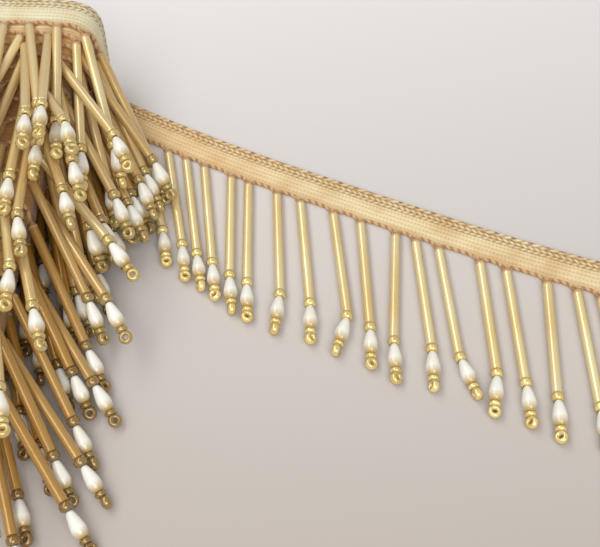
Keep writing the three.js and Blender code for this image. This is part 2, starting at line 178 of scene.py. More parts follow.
@dataclass(frozen=True)
class BraidSizes:
    """Sizes of the braid's lower edge, where the drops hang."""

    edging_near: float = 10.0
    edging_thick: float = 1.2
    root_line: float = 9.25
    root_inset: float = 0.3


@dataclass(frozen=True)
class Winding:
    """The roll: one row for a turn, from the outer turns to the inner ones that slipped forward."""

    middle_x: float = -56.3
    far_y: float = 74.18
    turns: int = 15
    steps: int = 24
    oval_power: float = 4.5
    floor_lift: float = 1.7
    # turn, slip, half width, bottom, top
    table: tuple[tuple[float, ...], ...] = (
        (0, 0, 22.4, -0.3, 31),
        (0.5, 2, 22, 1.1, 30.8),
        (1, 3.2, 21.4, 2.5, 30.2),
        (2, 5.8, 20.3, 3.8, 29.2),
        (3, 8.6, 19.2, 5, 28.2),
        (4, 12, 18.1, 6.1, 27.2),
        (5, 16, 17, 7.1, 26.2),
        (6, 20.5, 15.9, 8, 25.2),
        (7, 26, 14.8, 8.8, 24.3),
        (8, 32.5, 13.8, 9.5, 23.5),
        (9, 40, 12.8, 10, 22.8),
        (10, 48.5, 11.8, 10.2, 22.1),
        (11, 57.5, 10.9, 10.2, 21.4),
        (12, 67, 10.1, 10, 20.8),
        (13, 77, 9.3, 9.7, 20.2),
        (14, 87.5, 8.6, 9.3, 19.7),
        (15, 98, 8, 8.8, 19.2),
    )

    def at(self, turn: np.ndarray) -> tuple[np.ndarray, ...]:
        """The size and place of the winding at a turn count, between the rows of the table.

        Args:
            turn: Turn count.

        Returns:
            Slip, half width, half height and middle height.
        """
        rows = np.array(self.table, dtype=float).T
        slip, half_width, bottom, top = (np.interp(turn, rows[0], row) for row in rows[1:])
        return slip, half_width, (top - bottom) / 2, (top + bottom) / 2

    def turn_at_slip(self, slip: np.ndarray) -> np.ndarray:
        """The turn count at which the braid has slipped that far forward."""
        rows = np.array(self.table, dtype=float).T
        return np.interp(slip, rows[1], rows[0])

    def point(self, turn: np.ndarray, inset: np.ndarray, back: np.ndarray) -> np.ndarray:
        """Places on the wound braid.

        A turn is an oval, |x|^p + |z|^p = 1, run from its lowest point round by the left.

        Args:
            turn: Turn count.
            inset: How far inside the turn's outer face.
            back: How far in front of the braid's far edge.

        Returns:
            Places, with a last axis of three.
        """
        turn, inset, back = np.broadcast_arrays(turn, inset, back)
        slip, half_width, half_height, middle = self.at(turn)
        angle = -math.pi / 2 - 2 * math.pi * turn
        c, s = np.cos(angle), np.sin(angle)
        p = self.oval_power
        reach = (np.abs(c) ** p + np.abs(s) ** p) ** (-1 / p)
        z = middle + (half_height - inset) * reach * s
        x = self.middle_x + (half_width - inset) * reach * c
        z = np.maximum(z, self.floor_lift * inset)
        return np.stack([x, self.far_y - slip - back, z], axis=-1)

    def outward(self, turn: np.ndarray, point: np.ndarray) -> np.ndarray:
        """The oval's outward direction at places on it: the slope of |x|^p + |z|^p.

        Args:
            turn: Turn count of each place.
            point: Places, with a last axis of three.

        Returns:
            Unit directions, with a last axis of three.
        """
        _, half_width, half_height, middle = self.at(turn)
        across = (point[..., 0] - self.middle_x) / half_width
        up = (point[..., 2] - middle) / half_height
        p = self.oval_power - 1
        x = np.sign(across) * np.abs(across) ** p / half_width
        z = np.sign(up) * np.abs(up) ** p / half_height
        return unit(np.stack([x, np.zeros_like(x), z], axis=-1))

    def lengths(self) -> tuple[np.ndarray, np.ndarray]:
        """The braid's length along the root line, summed up step by step.

        Returns:
            Turn counts, and the length of braid up to each.
        """
        sizes = BraidSizes()
        turn = np.arange(self.turns * self.steps + 1) / self.steps
        line = self.point(turn, sizes.root_inset, sizes.root_line)
        run = np.linalg.norm(np.diff(line, axis=0), axis=1)
        return turn, np.concatenate([[0.0], np.cumsum(run)])


@dataclass(frozen=True)
class TailLine:
    """The tail's path on the surface, given by the heading of its far edge."""

    length: float = 171.0
    step: float = 0.5
    # along, heading in degrees from +X
    table: tuple[tuple[float, float], ...] = (
        (0, 0),
        (10, -11),
        (20, -33),
        (40, -29.5),
        (80, -24.5),
        (125, -23.5),
        (175, -18),
    )

    def path(self) -> tuple[np.ndarray, np.ndarray, np.ndarray]:
        """The path of the far edge, summed up step by step from the headings.

        Returns:
            Distances along, (N, 2) places and headings in radians.
        """
        winding = Winding()
        along = np.arange(0, self.length + 1e-6, self.step)
        marks = np.array(self.table, dtype=float).T
        heading = np.radians(np.interp(along, marks[0], marks[1]))
        ahead = np.radians(np.interp(along + self.step / 2, marks[0], marks[1]))
        run = self.step * np.stack([np.cos(ahead), np.sin(ahead)], axis=1)
        start = np.array([[winding.middle_x, winding.far_y]])
        places = start + np.concatenate([[[0.0, 0.0]], np.cumsum(run, axis=0)[:-1]])
        return along, places, heading

    def point(self, along: np.ndarray, back: np.ndarray, height: np.ndarray) -> np.ndarray:
        """Places on the lying braid: in front of its far edge, square to its heading.

        Args:
            along: Distance along the far edge.
            back: How far in front of the far edge.
            height: Height above the surface.

        Returns:
            Places, with a last axis of three.
        """
        along, back, height = np.broadcast_arrays(along, back, height)
        marks, places, headings = self.path()
        x = np.interp(along, marks, places[:, 0])
        y = np.interp(along, marks, places[:, 1])
        heading = np.interp(along, marks, headings)
        x = x + back * np.sin(heading)
        y = y - back * np.cos(heading)
        return np.stack([x, y, height.astype(float)], axis=-1)


# Where the drops lie


@dataclass(frozen=True)
class DropSizes:
    """Lengths along one drop, from its knot to its end."""

    loop: float = 2.4
    bugle: float = 30.0
    bugle_radius: float = 1.15
    seed: float = 2.0
    pearl: float = 6.4
    end_beads: float = 4.2
    pitch: float = 6.9
    pitch_shift: float = 0.382

    @property
    def knee(self) -> float:
        """Where a drop bends: in its upper seed bead."""
        return self.loop + self.bugle + self.seed / 2

    @property
    def full(self) -> float:
        """Length of the whole drop."""
        return self.loop + self.bugle + self.seed + self.pearl + self.end_beads


@dataclass
class Drops:
    """A set of drops: their knots, and the lines of their upper and lower rods."""

    knot: np.ndarray
    root: np.ndarray
    outward: np.ndarray
    upper: np.ndarray
    lower: np.ndarray

    def at(self, along: float | np.ndarray) -> np.ndarray:
        """Places along each drop: on its upper rod as far as the knee, then on its lower one.

        Args:
            along: One distance for all drops, or one for each.

        Returns:
            (N, 3) places.
        """
        knee = DropSizes().knee
        on_upper = np.minimum(along, knee)
        on_lower = np.maximum(np.subtract(along, knee), 0)
        on_upper = np.reshape(on_upper, np.shape(on_upper) + (1,))
        on_lower = np.reshape(on_lower, np.shape(on_lower) + (1,))
        return self.root + on_upper * self.upper + on_lower * self.lower

    def picked(self, chosen: np.ndarray) -> "Drops":
        """The drops at some numbers, or of a mask."""
        rows = (self.knot, self.root, self.outward, self.upper, self.lower)
        return Drops(*(row[chosen] for row in rows))


@dataclass(frozen=True)
class RollAim:
    """How the roll's drops are spaced along the braid, and how they aim before they fall.

    A turn takes a whole number of drops and a part of one more, so that the drops of the next turn
    stand aside. Each aims forward, outward the more it is at the side, and a little down.
    """

    winding: Winding
    first: float = 5.0
    last_clear: float = 4.0
    uneven: float = 0.35
    # sideways aim in degrees: by the place across the roll, more of it inside, and by the slope
    flare: tuple[float, float, float] = (2.0, 24.0, 9.0)
    # the most that a drop falls: anywhere, more at the side, and more inside
    fall: tuple[float, float, float] = (0.12, 0.16, 0.2)
    end_height: float = 1.7
    # chance sideways aim: steady share, and degrees outside and more inside
    sway: tuple[float, float, float] = (0.02, 1.5, 5.0)
    # part of a turn to each side of a knot that gives the braid's direction there
    near_turn: float = 0.004

    def places(self) -> np.ndarray:
        """Where the drops hang.

        Returns:
            Their distances along the wound braid, in order.
        """
        winding, sizes = self.winding, DropSizes()
        turns, lengths = winding.lengths()
        rounds = np.diff(lengths[:: winding.steps])
        places: list[float] = []
        along = self.first
        while along < lengths[-1] - self.last_clear:
            place = along + self.uneven * float(scatter(len(places), Chance.PLACE))
            places.append(place)
            whole = min(int(np.interp(place, lengths, turns)), winding.turns - 1)
            share = round(rounds[whole] / sizes.pitch) + sizes.pitch_shift
            along += rounds[whole] / share
        return np.array(places)

    def drops(self) -> tuple[Drops, np.ndarray]:
        """The roll's drops before they fall.

        Returns:
            The drops as they aim, and the distance of each along the wound braid.
        """
        winding, sizes, braid = self.winding, DropSizes(), BraidSizes()
        turns, lengths = winding.lengths()
        place = self.places()
        turn = np.interp(place, lengths, turns)
        line = winding.point(turns, braid.root_inset, braid.root_line)
        knot = np.stack([np.interp(place, lengths, line[:, k]) for k in range(3)], axis=1)
        outward = winding.outward(turn, knot)
        inner, side = turn / winding.turns, np.abs(outward[:, 0])
        across = (knot[:, 0] - winding.middle_x) / winding.at(turn)[1]
        plain, inside, slope = self.flare
        flare = np.radians((plain + inside * inner) * across + slope * outward[:, 0])
        plain, at_side, inside = self.fall
        most = plain + at_side * side + inside * inner
        fall = np.minimum((knot[:, 2] - self.end_height) / sizes.full, most)
        steady, outer, inside = self.sway
        number = np.arange(len(place))
        sway = np.radians(outer + inside * inner) * scatter(number, Chance.SWAY) + steady
        aim = unit(np.stack([np.sin(flare) + sway, -np.cos(flare), -fall], axis=1))
        root = knot.copy()
        root[:, 2] = np.maximum(root[:, 2], sizes.bugle_radius)
        return Drops(knot, root, outward, aim, aim.copy()), place

    def beside(self, place: np.ndarray) -> np.ndarray:
        """Directions along the braid at some distances along it.

        Args:
            place: Distances along the wound braid.

        Returns:
            (N, 3) unit directions.
        """
        turns, lengths = self.winding.lengths()
        here, braid = np.interp(place, lengths, turns), BraidSizes()
        before, after = (
            self.winding.point(here + step, braid.root_inset, braid.root_line)
            for step in (-self.near_turn, self.near_turn)
        )
        return unit(after - before)


@dataclass(frozen=True)
class TailAim:
    """Where the tail's drops hang and which way they lie on the surface."""

    tail: TailLine
    # distance to each side of a knot that gives the braid's direction there
    near: float = 0.3
    # along, lean of the bugle and of the pearl in degrees
    table: tuple[tuple[float, float, float], ...] = (
        (5, -6, -6),
        (12.5, 0.5, 0.5),
        (21, 3, 3),
        (30.5, 8, 8),
        (39.5, 14, 10),
        (47.5, 10.5, 8),
        (53, 8.5, 9),
        (58.5, 6.6, 7),
        (66.5, 1.6, 5),
        (71.5, 1, 2),
        (79.5, 2, -7),
        (86, 4, 0),
        (95, 5, -17),
        (102.5, 2, -1),
        (112, -4, 0),
        (117, 3, -2),
        (123, 4, 17),
        (133.5, 1, -10),
        (140, 1, 0),
        (150, -4, -4),
        (157, 0, -1),
        (162.5, 2, 1),
        (168.5, 3, 6),
    )

    def drops(self) -> tuple[Drops, np.ndarray]:
        """The tail's drops, which lie on the surface.

        Returns:
            The drops, and the distance of each along the tail.
        """
        braid = BraidSizes()
        along, lean, lower_lean = np.array(self.table, dtype=float).T
        knot = self.tail.point(along, braid.root_line, np.array(braid.edging_thick / 2))
        flat = np.zeros_like(along)
        upper, lower = (
            np.stack([np.sin(turn), -np.cos(turn), flat], axis=1)
            for turn in np.radians([lean, lower_lean])
        )
        return Drops(knot, knot.copy(), np.tile(UP, (len(along), 1)), upper, lower), along

    def beside(self, place: np.ndarray) -> np.ndarray:
        """Directions along the braid at some distances along it.

        Args:
            place: Distances along the tail.

        Returns:
            (N, 3) unit directions.
        """
        height = np.array(BraidSizes().edging_thick / 2)
        before, after = (
            self.tail.point(place + step, BraidSizes().root_line, height)
            for step in (-self.near, self.near)
        )
        return unit(after - before)


@dataclass
class Settling:
    """Lets the roll's drops sink until they rest on each other, on the braid and on the surface.

    The drops are pairs of rods that turn about their knots. In each step all pairs of rods that are
    too near push each other apart, and points along the drops are kept out of braid and surface.
    """

    winding: Winding
    tail: TailLine
    steps: int = 480
    # how much a rod's direction sinks in each step, at first and later, and how much more a lower
    # rod's does
    sag: float = 0.008
    late_sag: float = 0.0005
    lower_sag: float = 1.5
    # shares of the steps in which the drops fall, and in which they are drawn to their aim
    fall_share: float = 0.55
    aim_share: float = 0.7
    # how much a drop is drawn to its aim in each step, and its lower rod to its upper one
    aim_pull: float = 0.04
    straighten: float = 0.06
    # how much of the pushes is followed while the drops are drawn to their aim, and later
    aim_gain: float = 0.9
    rest_gain: float = 1.6
    lower_ease: float = 3.0
    inertia: float = 30.0
    # how far apart the boxes round two drops may be for a closer look at them
    near: float = 2.5
    # least distance that a push is worked out from, and the upward share that frees crossed rods
    least: float = 1e-3
    braid_clear: float = 0.3
    over_tail: float = 1.8
    # along, radius
    probes: tuple[tuple[float, float], ...] = (
        (5, 0.45),
        (9, 1.15),
        (14, 1.15),
        (19, 1.15),
        (24, 1.15),
        (29, 1.15),
        (33, 1.3),
        (36.4, 1.8),
        (40.4, 1.8),
        (43.9, 1.75),
    )
    # from, to, radius
    rods: tuple[tuple[float, float, float], ...] = (
        (2.4, 32.4, 1.15),
        (34.8, 43.6, 1.7),
    )
    turn_upper: np.ndarray = field(default_factory=lambda: np.zeros((0, 3)))
    turn_lower: np.ndarray = field(default_factory=lambda: np.zeros((0, 3)))
    touches: np.ndarray = field(default_factory=lambda: np.zeros(0))

    def push(self, which: np.ndarray, along: np.ndarray, push: np.ndarray) -> None:
        """Notes a push on some drops, to turn their rods by.

        A rod turns by the push times its arm, over the sum of the squared arms and the inertia. A
        lower rod turns more easily.

        Args:
            which: Numbers of the drops.
            along: Distance along each at which it is pushed.
            push: (N, 3) pushes in millimetres.
        """
        knee = DropSizes().knee
        on_upper = np.minimum(along, knee)
        on_lower = np.maximum(along - knee, 0)
        ease = on_upper**2 + on_lower**2 + self.inertia
        np.add.at(self.turn_upper, which, push * (on_upper / ease)[:, None])
        lower = push * (self.lower_ease * on_lower / ease)[:, None]
        np.add.at(self.turn_lower, which, lower)
        np.add.at(self.touches, which, 1.0)

    def part_rods(self, drops: Drops, free: np.ndarray) -> None:
        """Pushes apart all pairs of rods that are too near each other.

        Args:
            drops: All drops.
            free: Mask of the drops that can move.
        """
        ends = np.stack([drops.root, drops.at(DropSizes().knee), drops.at(DropSizes().full)])
        low, high = ends.min(axis=0) - self.near, ends.max(axis=0) + self.near
        near = (low[:, None] <= high[None]) & (high[:, None] >= low[None])
        near = near.all(axis=-1) & (free[:, None] | free[None])
        first, second = np.nonzero(np.triu(near, 1))
        a, b = drops.picked(first), drops.picked(second)
        for from_a, to_a, radius_a in self.rods:
            start_a = a.at(from_a)
            run_a = a.at(to_a) - start_a
            for from_b, to_b, radius_b in self.rods:
                start_b = b.at(from_b)
                run_b = b.at(to_b) - start_b
                share_a, share_b = nearest_shares(start_a, run_a, start_b, run_b)
                apart = start_a + run_a * share_a[:, None]
                apart = apart - (start_b + run_b * share_b[:, None])
                distance = np.linalg.norm(apart, axis=1)
                needed = radius_a + radius_b
                hit = distance < needed
                apart = apart[hit] + (0, 0, self.least)
                gap = distance[hit]
                scale = 0.5 * (needed - gap) / np.maximum(gap, self.least)
                apart = apart * scale[:, None]
                along_a = from_a + share_a[hit] * (to_a - from_a)
                along_b = from_b + share_b[hit] * (to_b - from_b)
                self.push(first[hit], along_a, apart)
                self.push(second[hit], along_b, -apart)

    def clearance(self, point: np.ndarray, radius: float) -> np.ndarray:
        """How far places have to move to clear the wound braid and the surface.

        Args:
            point: (N, 3) places.
            radius: Radius of the bead there.

        Returns:
            (N, 3) pushes, zero where there is room.
        """
        winding, braid = self.winding, BraidSizes()
        slip = winding.far_y - braid.edging_near - point[:, 1]
        turn = winding.turn_at_slip(slip)
        _, half_width, half_height, middle = winding.at(turn)
        width = half_width + radius + self.braid_clear
        height = half_height + radius + self.braid_clear
        across = (point[:, 0] - winding.middle_x) / width
        up = (point[:, 2] - middle) / height
        p = winding.oval_power
        reach = (np.abs(across) ** p + np.abs(up) ** p) ** (1 / p)
        inside = (reach < 1) & (slip < winding.table[-1][1] + 1)
        x = np.sign(across) * np.abs(across) ** (p - 1) / width
        z = np.sign(up) * np.abs(up) ** (p - 1) / height
        outward = unit(np.stack([x, np.zeros_like(x), z + 1e-12], axis=1))
        depth = np.minimum((1 - reach) * np.minimum(width, height), 1)
        push = outward * np.where(inside, depth, 0)[:, None]
        floor = self.floor_under(point)
        push[:, 2] += np.maximum(radius + floor - point[:, 2], 0)
        return push

    def floor_under(self, point: np.ndarray) -> np.ndarray:
        """Height of what lies under places: the tail's braid, or the bare surface.

        Args:
            point: (N, 3) places.

        Returns:
            (N,) heights.
        """
        _, places, headings = self.tail.path()
        step = np.round((point[:, 0] - self.winding.middle_x) / self.tail.step)
        on_path = (step >= 0) & (step < len(places))
        nearest = np.clip(step, 0, len(places) - 1).astype(int)
        back = (places[nearest, 1] - point[:, 1]) * np.cos(headings[nearest])
        over = on_path & (back > 0) & (back < BraidSizes().edging_near)
        return np.where(over, self.over_tail, 0.0)

    def run(self, drops: Drops, free: np.ndarray) -> Drops:
        """Settles the drops.

        Args:
            drops: All drops, as they aim at first.
            free: Mask of the drops that can move.

        Returns:
            The same drops, at rest.
        """
        aim_x = drops.upper[:, 0].copy()
        numbers = np.nonzero(free)[0]
        for step in range(self.steps):
            falling = step < self.fall_share * self.steps
            aiming = step < self.aim_share * self.steps
            sag = self.sag if falling else self.late_sag
            upper, lower = drops.upper[free], drops.lower[free]
            upper[:, 2] -= sag
            lower[:, 2] -= self.lower_sag * sag
            if aiming:
                upper[:, 0] += self.aim_pull * (aim_x[free] - upper[:, 0])
                lower += self.straighten * (upper - lower)
            drops.upper[free], drops.lower[free] = unit(upper), unit(lower)
            self.turn_upper = np.zeros_like(drops.upper)
            self.turn_lower = np.zeros_like(drops.lower)
            self.touches = np.zeros(len(drops.upper))
            self.part_rods(drops, free)
            moving = drops.picked(free)
            for along, radius in self.probes:
                push = self.clearance(moving.at(along), radius)
                hit = (push**2).sum(axis=1) > 0
                distance = np.full(int(hit.sum()), float(along))
                self.push(numbers[hit], distance, push[hit])
            gain = self.aim_gain if aiming else self.rest_gain
            share = (gain / np.maximum(1, self.touches / 2))[:, None]
            upper = unit(drops.upper + self.turn_upper * share)
            lower = unit(drops.lower + self.turn_lower * share)
            drops.upper[free], drops.lower[free] = upper[free], lower[free]
        return drops


def nearest_shares(
    start_a: np.ndarray, run_a: np.ndarray, start_b: np.ndarray, run_b: np.ndarray
) -> tuple[np.ndarray, np.ndarray]:
    """The nearest places of pairs of straight rods.

    The unclamped nearest point of the first line is cut to its rod, then the second is found from
    it and cut, and where that cut bites the first is found again.

    Args:
        start_a: Starts of the first rods.
        run_a: Their runs from start to end.
        start_b: Starts of the second rods.
        run_b: Their runs.

    Returns:
        The shares of the two rods' lengths at which they are nearest.
    """
    between = start_a - start_b
    aa, bb, ab = (run_a**2).sum(1), (run_b**2).sum(1), (run_a * run_b).sum(1)
    a_between, b_between = (run_a * between).sum(1), (run_b * between).sum(1)
    spread = aa * bb - ab * ab
    apart = spread > 1e-9
    first = (ab * b_between - a_between * bb) / np.where(apart, spread, 1)
    share_a = np.where(apart, np.clip(first, 0, 1), 0.5)
    wanted = (ab * share_a + b_between) / bb
    share_b = np.clip(wanted, 0, 1)
    again = np.clip((ab * share_b - a_between) / aa, 0, 1)
    return np.where(wanted == share_b, share_a, again), share_b


# Finishes


class Nodes:
    """A short way to put shader nodes into one tree and join them."""

    def __init__(self, tree: bpy.types.NodeTree) -> None:
        """Keeps the tree."""
        self.tree = tree

    def add(self, kind: str, **settings: object) -> bpy.types.Node:
        """Adds a node.

        Args:
            kind: Blender's name of the node.
            settings: Plain settings by name, and socket values as in_0, in_1 and so on.

        Returns:
            The node.
        """
        node = self.tree.nodes.new(kind)
        for name, value in settings.items():
            if name.startswith("in_"):
                node.inputs[int(name[3:])].default_value = value
            else:
                setattr(node, name, value)
        return node

    def join(self, out: bpy.types.NodeSocket, into: bpy.types.NodeSocket) -> None:
        """Joins an output to an input."""
        self.tree.links.new(out, into)

    def math(self, operation: str, *values: object) -> bpy.types.NodeSocket:
        """A Math node on sockets or plain numbers.

        Args:
            operation: Blender's name of the operation.
            values: Its inputs in order.

        Returns:
            The result's socket.
        """
        node = self.add("ShaderNodeMath", operation=operation)
        for slot, value in enumerate(values):
            self.give(value, node.inputs[slot])
        return node.outputs[0]

    def mix(self, share: object, a: object, b: object) -> bpy.types.NodeSocket:
        """A colour mix of two sockets or plain colours by a share.

        Args:
            share: How much of the second there is.
            a: The first colour.
            b: The second colour.

        Returns:
            The result's socket.
        """
        node = self.add("ShaderNodeMix", data_type="RGBA")
        for slot, value in ((0, share), (6, a), (7, b)):
            self.give(value, node.inputs[slot])
        return node.outputs[2]

    def give(self, value: object, into: bpy.types.NodeSocket) -> None:
        """Joins a socket to an input, or sets the input to a plain value.

        Args:
            value: The socket, or the plain value.
            into: The input.
        """
        if isinstance(value, bpy.types.NodeSocket):
            self.join(value, into)
        else:
            into.default_value = value

    def ramp(
        self,
        value: bpy.types.NodeSocket,
        span: tuple[float, float],
        out: tuple[float, float] = (0.0, 1.0),
    ) -> bpy.types.NodeSocket:
        """A value carried from one span over to another, and kept within it.

        Args:
            value: The value's socket.
            span: The values at which the result begins and ends.
            out: The result there.

        Returns:
            The result's socket.
        """
        node = self.add(
            "ShaderNodeMapRange", in_1=span[0], in_2=span[1], in_3=out[0], in_4=out[1]
        )
        self.join(value, node.inputs[0])
        return node.outputs[0]


def fine_variation() -> bpy.types.NodeTree:
    """A group that varies a colour from place to place by soft noise.

    Returns:
        The group: Colour, Darker, Scale and Detail in; Colour out.
    """
    name = "fine_variation"
    if name in bpy.data.node_groups:
        return bpy.data.node_groups[name]
    tree = bpy.data.node_groups.new(name, "ShaderNodeTree")
    for socket, kind in (
        ("Colour", "NodeSocketColor"),
        ("Darker", "NodeSocketColor"),
        ("Scale", "NodeSocketFloat"),
        ("Detail", "NodeSocketFloat"),
    ):
        tree.interface.new_socket(socket, in_out="INPUT", socket_type=kind)
    tree.interface.new_socket("Colour", in_out="OUTPUT", socket_type="NodeSocketColor")
    make = Nodes(tree)
    start, end = make.add("NodeGroupInput"), make.add("NodeGroupOutput")
    place = make.add("ShaderNodeTexCoord")
    noise = make.add("ShaderNodeTexNoise")
    make.join(place.outputs["Object"], noise.inputs["Vector"])
    make.join(start.outputs["Scale"], noise.inputs["Scale"])
    make.join(start.outputs["Detail"], noise.inputs["Detail"])
    share = make.ramp(noise.outputs["Fac"], NOISE_SPAN)
    tint = make.mix(share, start.outputs["Colour"], start.outputs["Darker"])
    make.join(tint, end.inputs["Colour"])
    return tree


@dataclass(frozen=True)
class Finish:
    """A finish: a colour that varies a little, and the plain values of its gloss."""

    name: str
    colour: tuple[float, float, float]
    darker: tuple[float, float, float]
    roughness: float
    metallic: float = 0.0
    coat: float = 0.0
    coat_roughness: float = 0.05
    sheen: float = 0.0
    # of the noise that varies the colour: its waves in a metre, and its octaves
    scale: float = 60.0
    detail: float = 2.0

    def start(self) -> tuple[bpy.types.Material, Nodes, bpy.types.Node, bpy.types.Node]:
        """Makes the material with its varied colour joined to the shader.

        Returns:
            The material, its nodes, the shader and the variation group.
        """
        material = bpy.data.materials.new(self.name)
        material.use_nodes = True
        make = Nodes(material.node_tree)
        shader = material.node_tree.nodes["Principled BSDF"]
        shader.inputs["Roughness"].default_value = self.roughness
        shader.inputs["Metallic"].default_value = self.metallic
        shader.inputs["Coat Weight"].default_value = self.coat
        shader.inputs["Coat Roughness"].default_value = self.coat_roughness
        shader.inputs["Sheen Weight"].default_value = self.sheen
        vary = make.add("ShaderNodeGroup", node_tree=fine_variation())
        vary.inputs["Colour"].default_value = (*self.colour, 1)
        vary.inputs["Darker"].default_value = (*self.darker, 1)
        vary.inputs["Scale"].default_value = self.scale
        vary.inputs["Detail"].default_value = self.detail
        make.join(vary.outputs["Colour"], shader.inputs["Base Color"])
        return material, make, shader, vary

    def material(self) -> bpy.types.Material:
        """The finished material."""
        return self.start()[0]


@dataclass(frozen=True)
class WovenFinish(Finish):
    """Gimp braid: rows along it, fine threads across, a browner knotted lower edge, and painted
    shade in its grooves, between its threads and towards the roll.
    """

    edge_colour: tuple[float, float, float] = (0.56, 0.33, 0.17)
    # painted shade in the grooves, where the tone is low
    groove_shade_colour: tuple[float, float, float] = (0.26, 0.12, 0.025)
    # painted shade towards the roll and deeper into it, by the distance along the braid in metres
    roll_shade_colour: tuple[float, float, float] = (0.88, 0.5, 0.19)
    roll_shade_span: tuple[float, float] = (0.0, 1.0)
    thread_mm: float = 0.55
    thread_slant: float = 0.004
    # painted shade in the hollows between the fine threads
    thread_shade_share: float = 0.25
    rows: float = 10.0
    row_share: float = 0.25
    edge_span: tuple[float, float] = (0.78, 0.9)
    edge_share: float = 0.6
    groove_shade_span: tuple[float, float] = (0.1, 0.78)
    bump: float = 0.3
    bump_metres: float = 0.0002

    def material(self) -> bpy.types.Material:
        """The woven material, which reads the braid's own map: metres along, centimetres across.

        Returns:
            The material.
        """
        material, make, shader, vary = self.start()
        uv = make.add("ShaderNodeUVMap", uv_map="UVMap")
        split = make.add("ShaderNodeSeparateXYZ")
        make.join(uv.outputs["UV"], split.inputs[0])
        along, across = split.outputs[0], split.outputs[1]
        slant = make.math("MULTIPLY_ADD", across, self.thread_slant, along)
        turns = make.math("MULTIPLY", slant, 2 * math.pi / (self.thread_mm * MM))
        thread = make.math("MULTIPLY_ADD", make.math("SINE", turns), 0.5, 0.5)
        rows = make.math("SINE", make.math("MULTIPLY", across, 2 * math.pi * self.rows))
        rows = make.math("MULTIPLY_ADD", rows, self.row_share, thread)
        # painted shade: browner towards the roll
        roll_shade = make.ramp(along, self.roll_shade_span)
        tint = make.mix(roll_shade, vary.outputs["Colour"], (*self.roll_shade_colour, 1))
        # painted shade between the threads
        low = make.ramp(thread, (0.0, 0.5), (self.thread_shade_share, 0.0))
        tint = make.mix(low, tint, (*self.darker, 1))
        edge = make.ramp(across, self.edge_span, (0.0, self.edge_share))
        tint = make.mix(edge, tint, (*self.edge_colour, 1))
        # the tone holds painted light: low in the grooves, where it paints shade, high on the
        # crowns
        light = make.add("ShaderNodeAttribute", attribute_name="tone").outputs["Fac"]
        groove_shade = make.ramp(light, self.groove_shade_span, (1.0, 0.0))
        tint = make.mix(groove_shade, tint, (*self.groove_shade_colour, 1))
        make.join(tint, shader.inputs["Base Color"])
        bump = make.add("ShaderNodeBump", in_0=self.bump)
        bump.inputs["Distance"].default_value = self.bump_metres
        make.join(rows, bump.inputs["Height"])
        make.join(bump.outputs[0], shader.inputs["Normal"])
        return material


@dataclass(frozen=True)
class EndTintFinish(Finish):
    """A finish that goes over to another colour by tone: along a pearl, partly as painted
    reflection, or up a yarn's crowns as painted light.
    """

    end_colour: tuple[float, float, float] = (0.6, 0.4, 0.15)
    start_share: float = 0.5
    end_share: float = 1.0

    def material(self) -> bpy.types.Material:
        """The material, tinted by tone from start_share to end_share.

        Returns:
            The material.
        """
        material, make, shader, vary = self.start()
        tone = make.add("ShaderNodeAttribute", attribute_name="tone").outputs["Fac"]
        share = make.ramp(tone, (self.start_share, self.end_share))
        tint = make.mix(share, vary.outputs["Colour"], (*self.end_colour, 1))
        make.join(tint, shader.inputs["Base Color"])
        return material


@dataclass(frozen=True)
class GlassFinish(Finish):
    """Lined glass: pale where it faces the eye, and deeper towards its sides, partly by its depth
    and partly as painted shade.
    """

    # deeper amber towards the sides: partly the glass's depth, partly painted shade; the tone mixes
    # in its painted shade with the same colour
    depth_and_shade_colour: tuple[float, float, float] = (0.5, 0.25, 0.035)
    side_share: float = 0.75
    side_span: tuple[float, float] = (0.2, 0.85)

    def material(self) -> bpy.types.Material:
        """The material, tinted by how far the surface turns away, partly as painted shade, and by
        the point attribute tone, which holds the drop's own tone and painted shade.

        Returns:
            The material.
        """
        material, make, shader, vary = self.start()
        facing = make.add("ShaderNodeLayerWeight", in_0=0.5).outputs["Facing"]
        side = make.ramp(facing, self.side_span, (0.0, self.side_share))
        tone = make.add("ShaderNodeAttribute", attribute_name="tone").outputs["Fac"]
        both = make.math("MAXIMUM", side, tone)
        tint = make.mix(both, vary.outputs["Colour"], (*self.depth_and_shade_colour, 1))
        make.join(tint, shader.inputs["Base Color"])
        return material


TAIL_GIMP = WovenFinish(
    "woven_gold_gimp",
    (0.9, 0.74, 0.44),
    (0.76, 0.54, 0.27),
    roughness=0.6,
    sheen=0.25,
    scale=160,
    # painted shade near the roll
    roll_shade_span=(0.09, -0.02),
)
# a paler copy of the tail's finish, as painted light on the roll's top, and browner further into
# the roll as painted shade
ROLL_GIMP = WovenFinish(
    "woven_pale_gimp",
    (0.86, 0.8, 0.55),
    (0.76, 0.64, 0.36),
    roughness=0.6,
    sheen=0.25,
    scale=160,
    # painted shade deeper into the roll
    roll_shade_span=(0.09, 0.3),
)
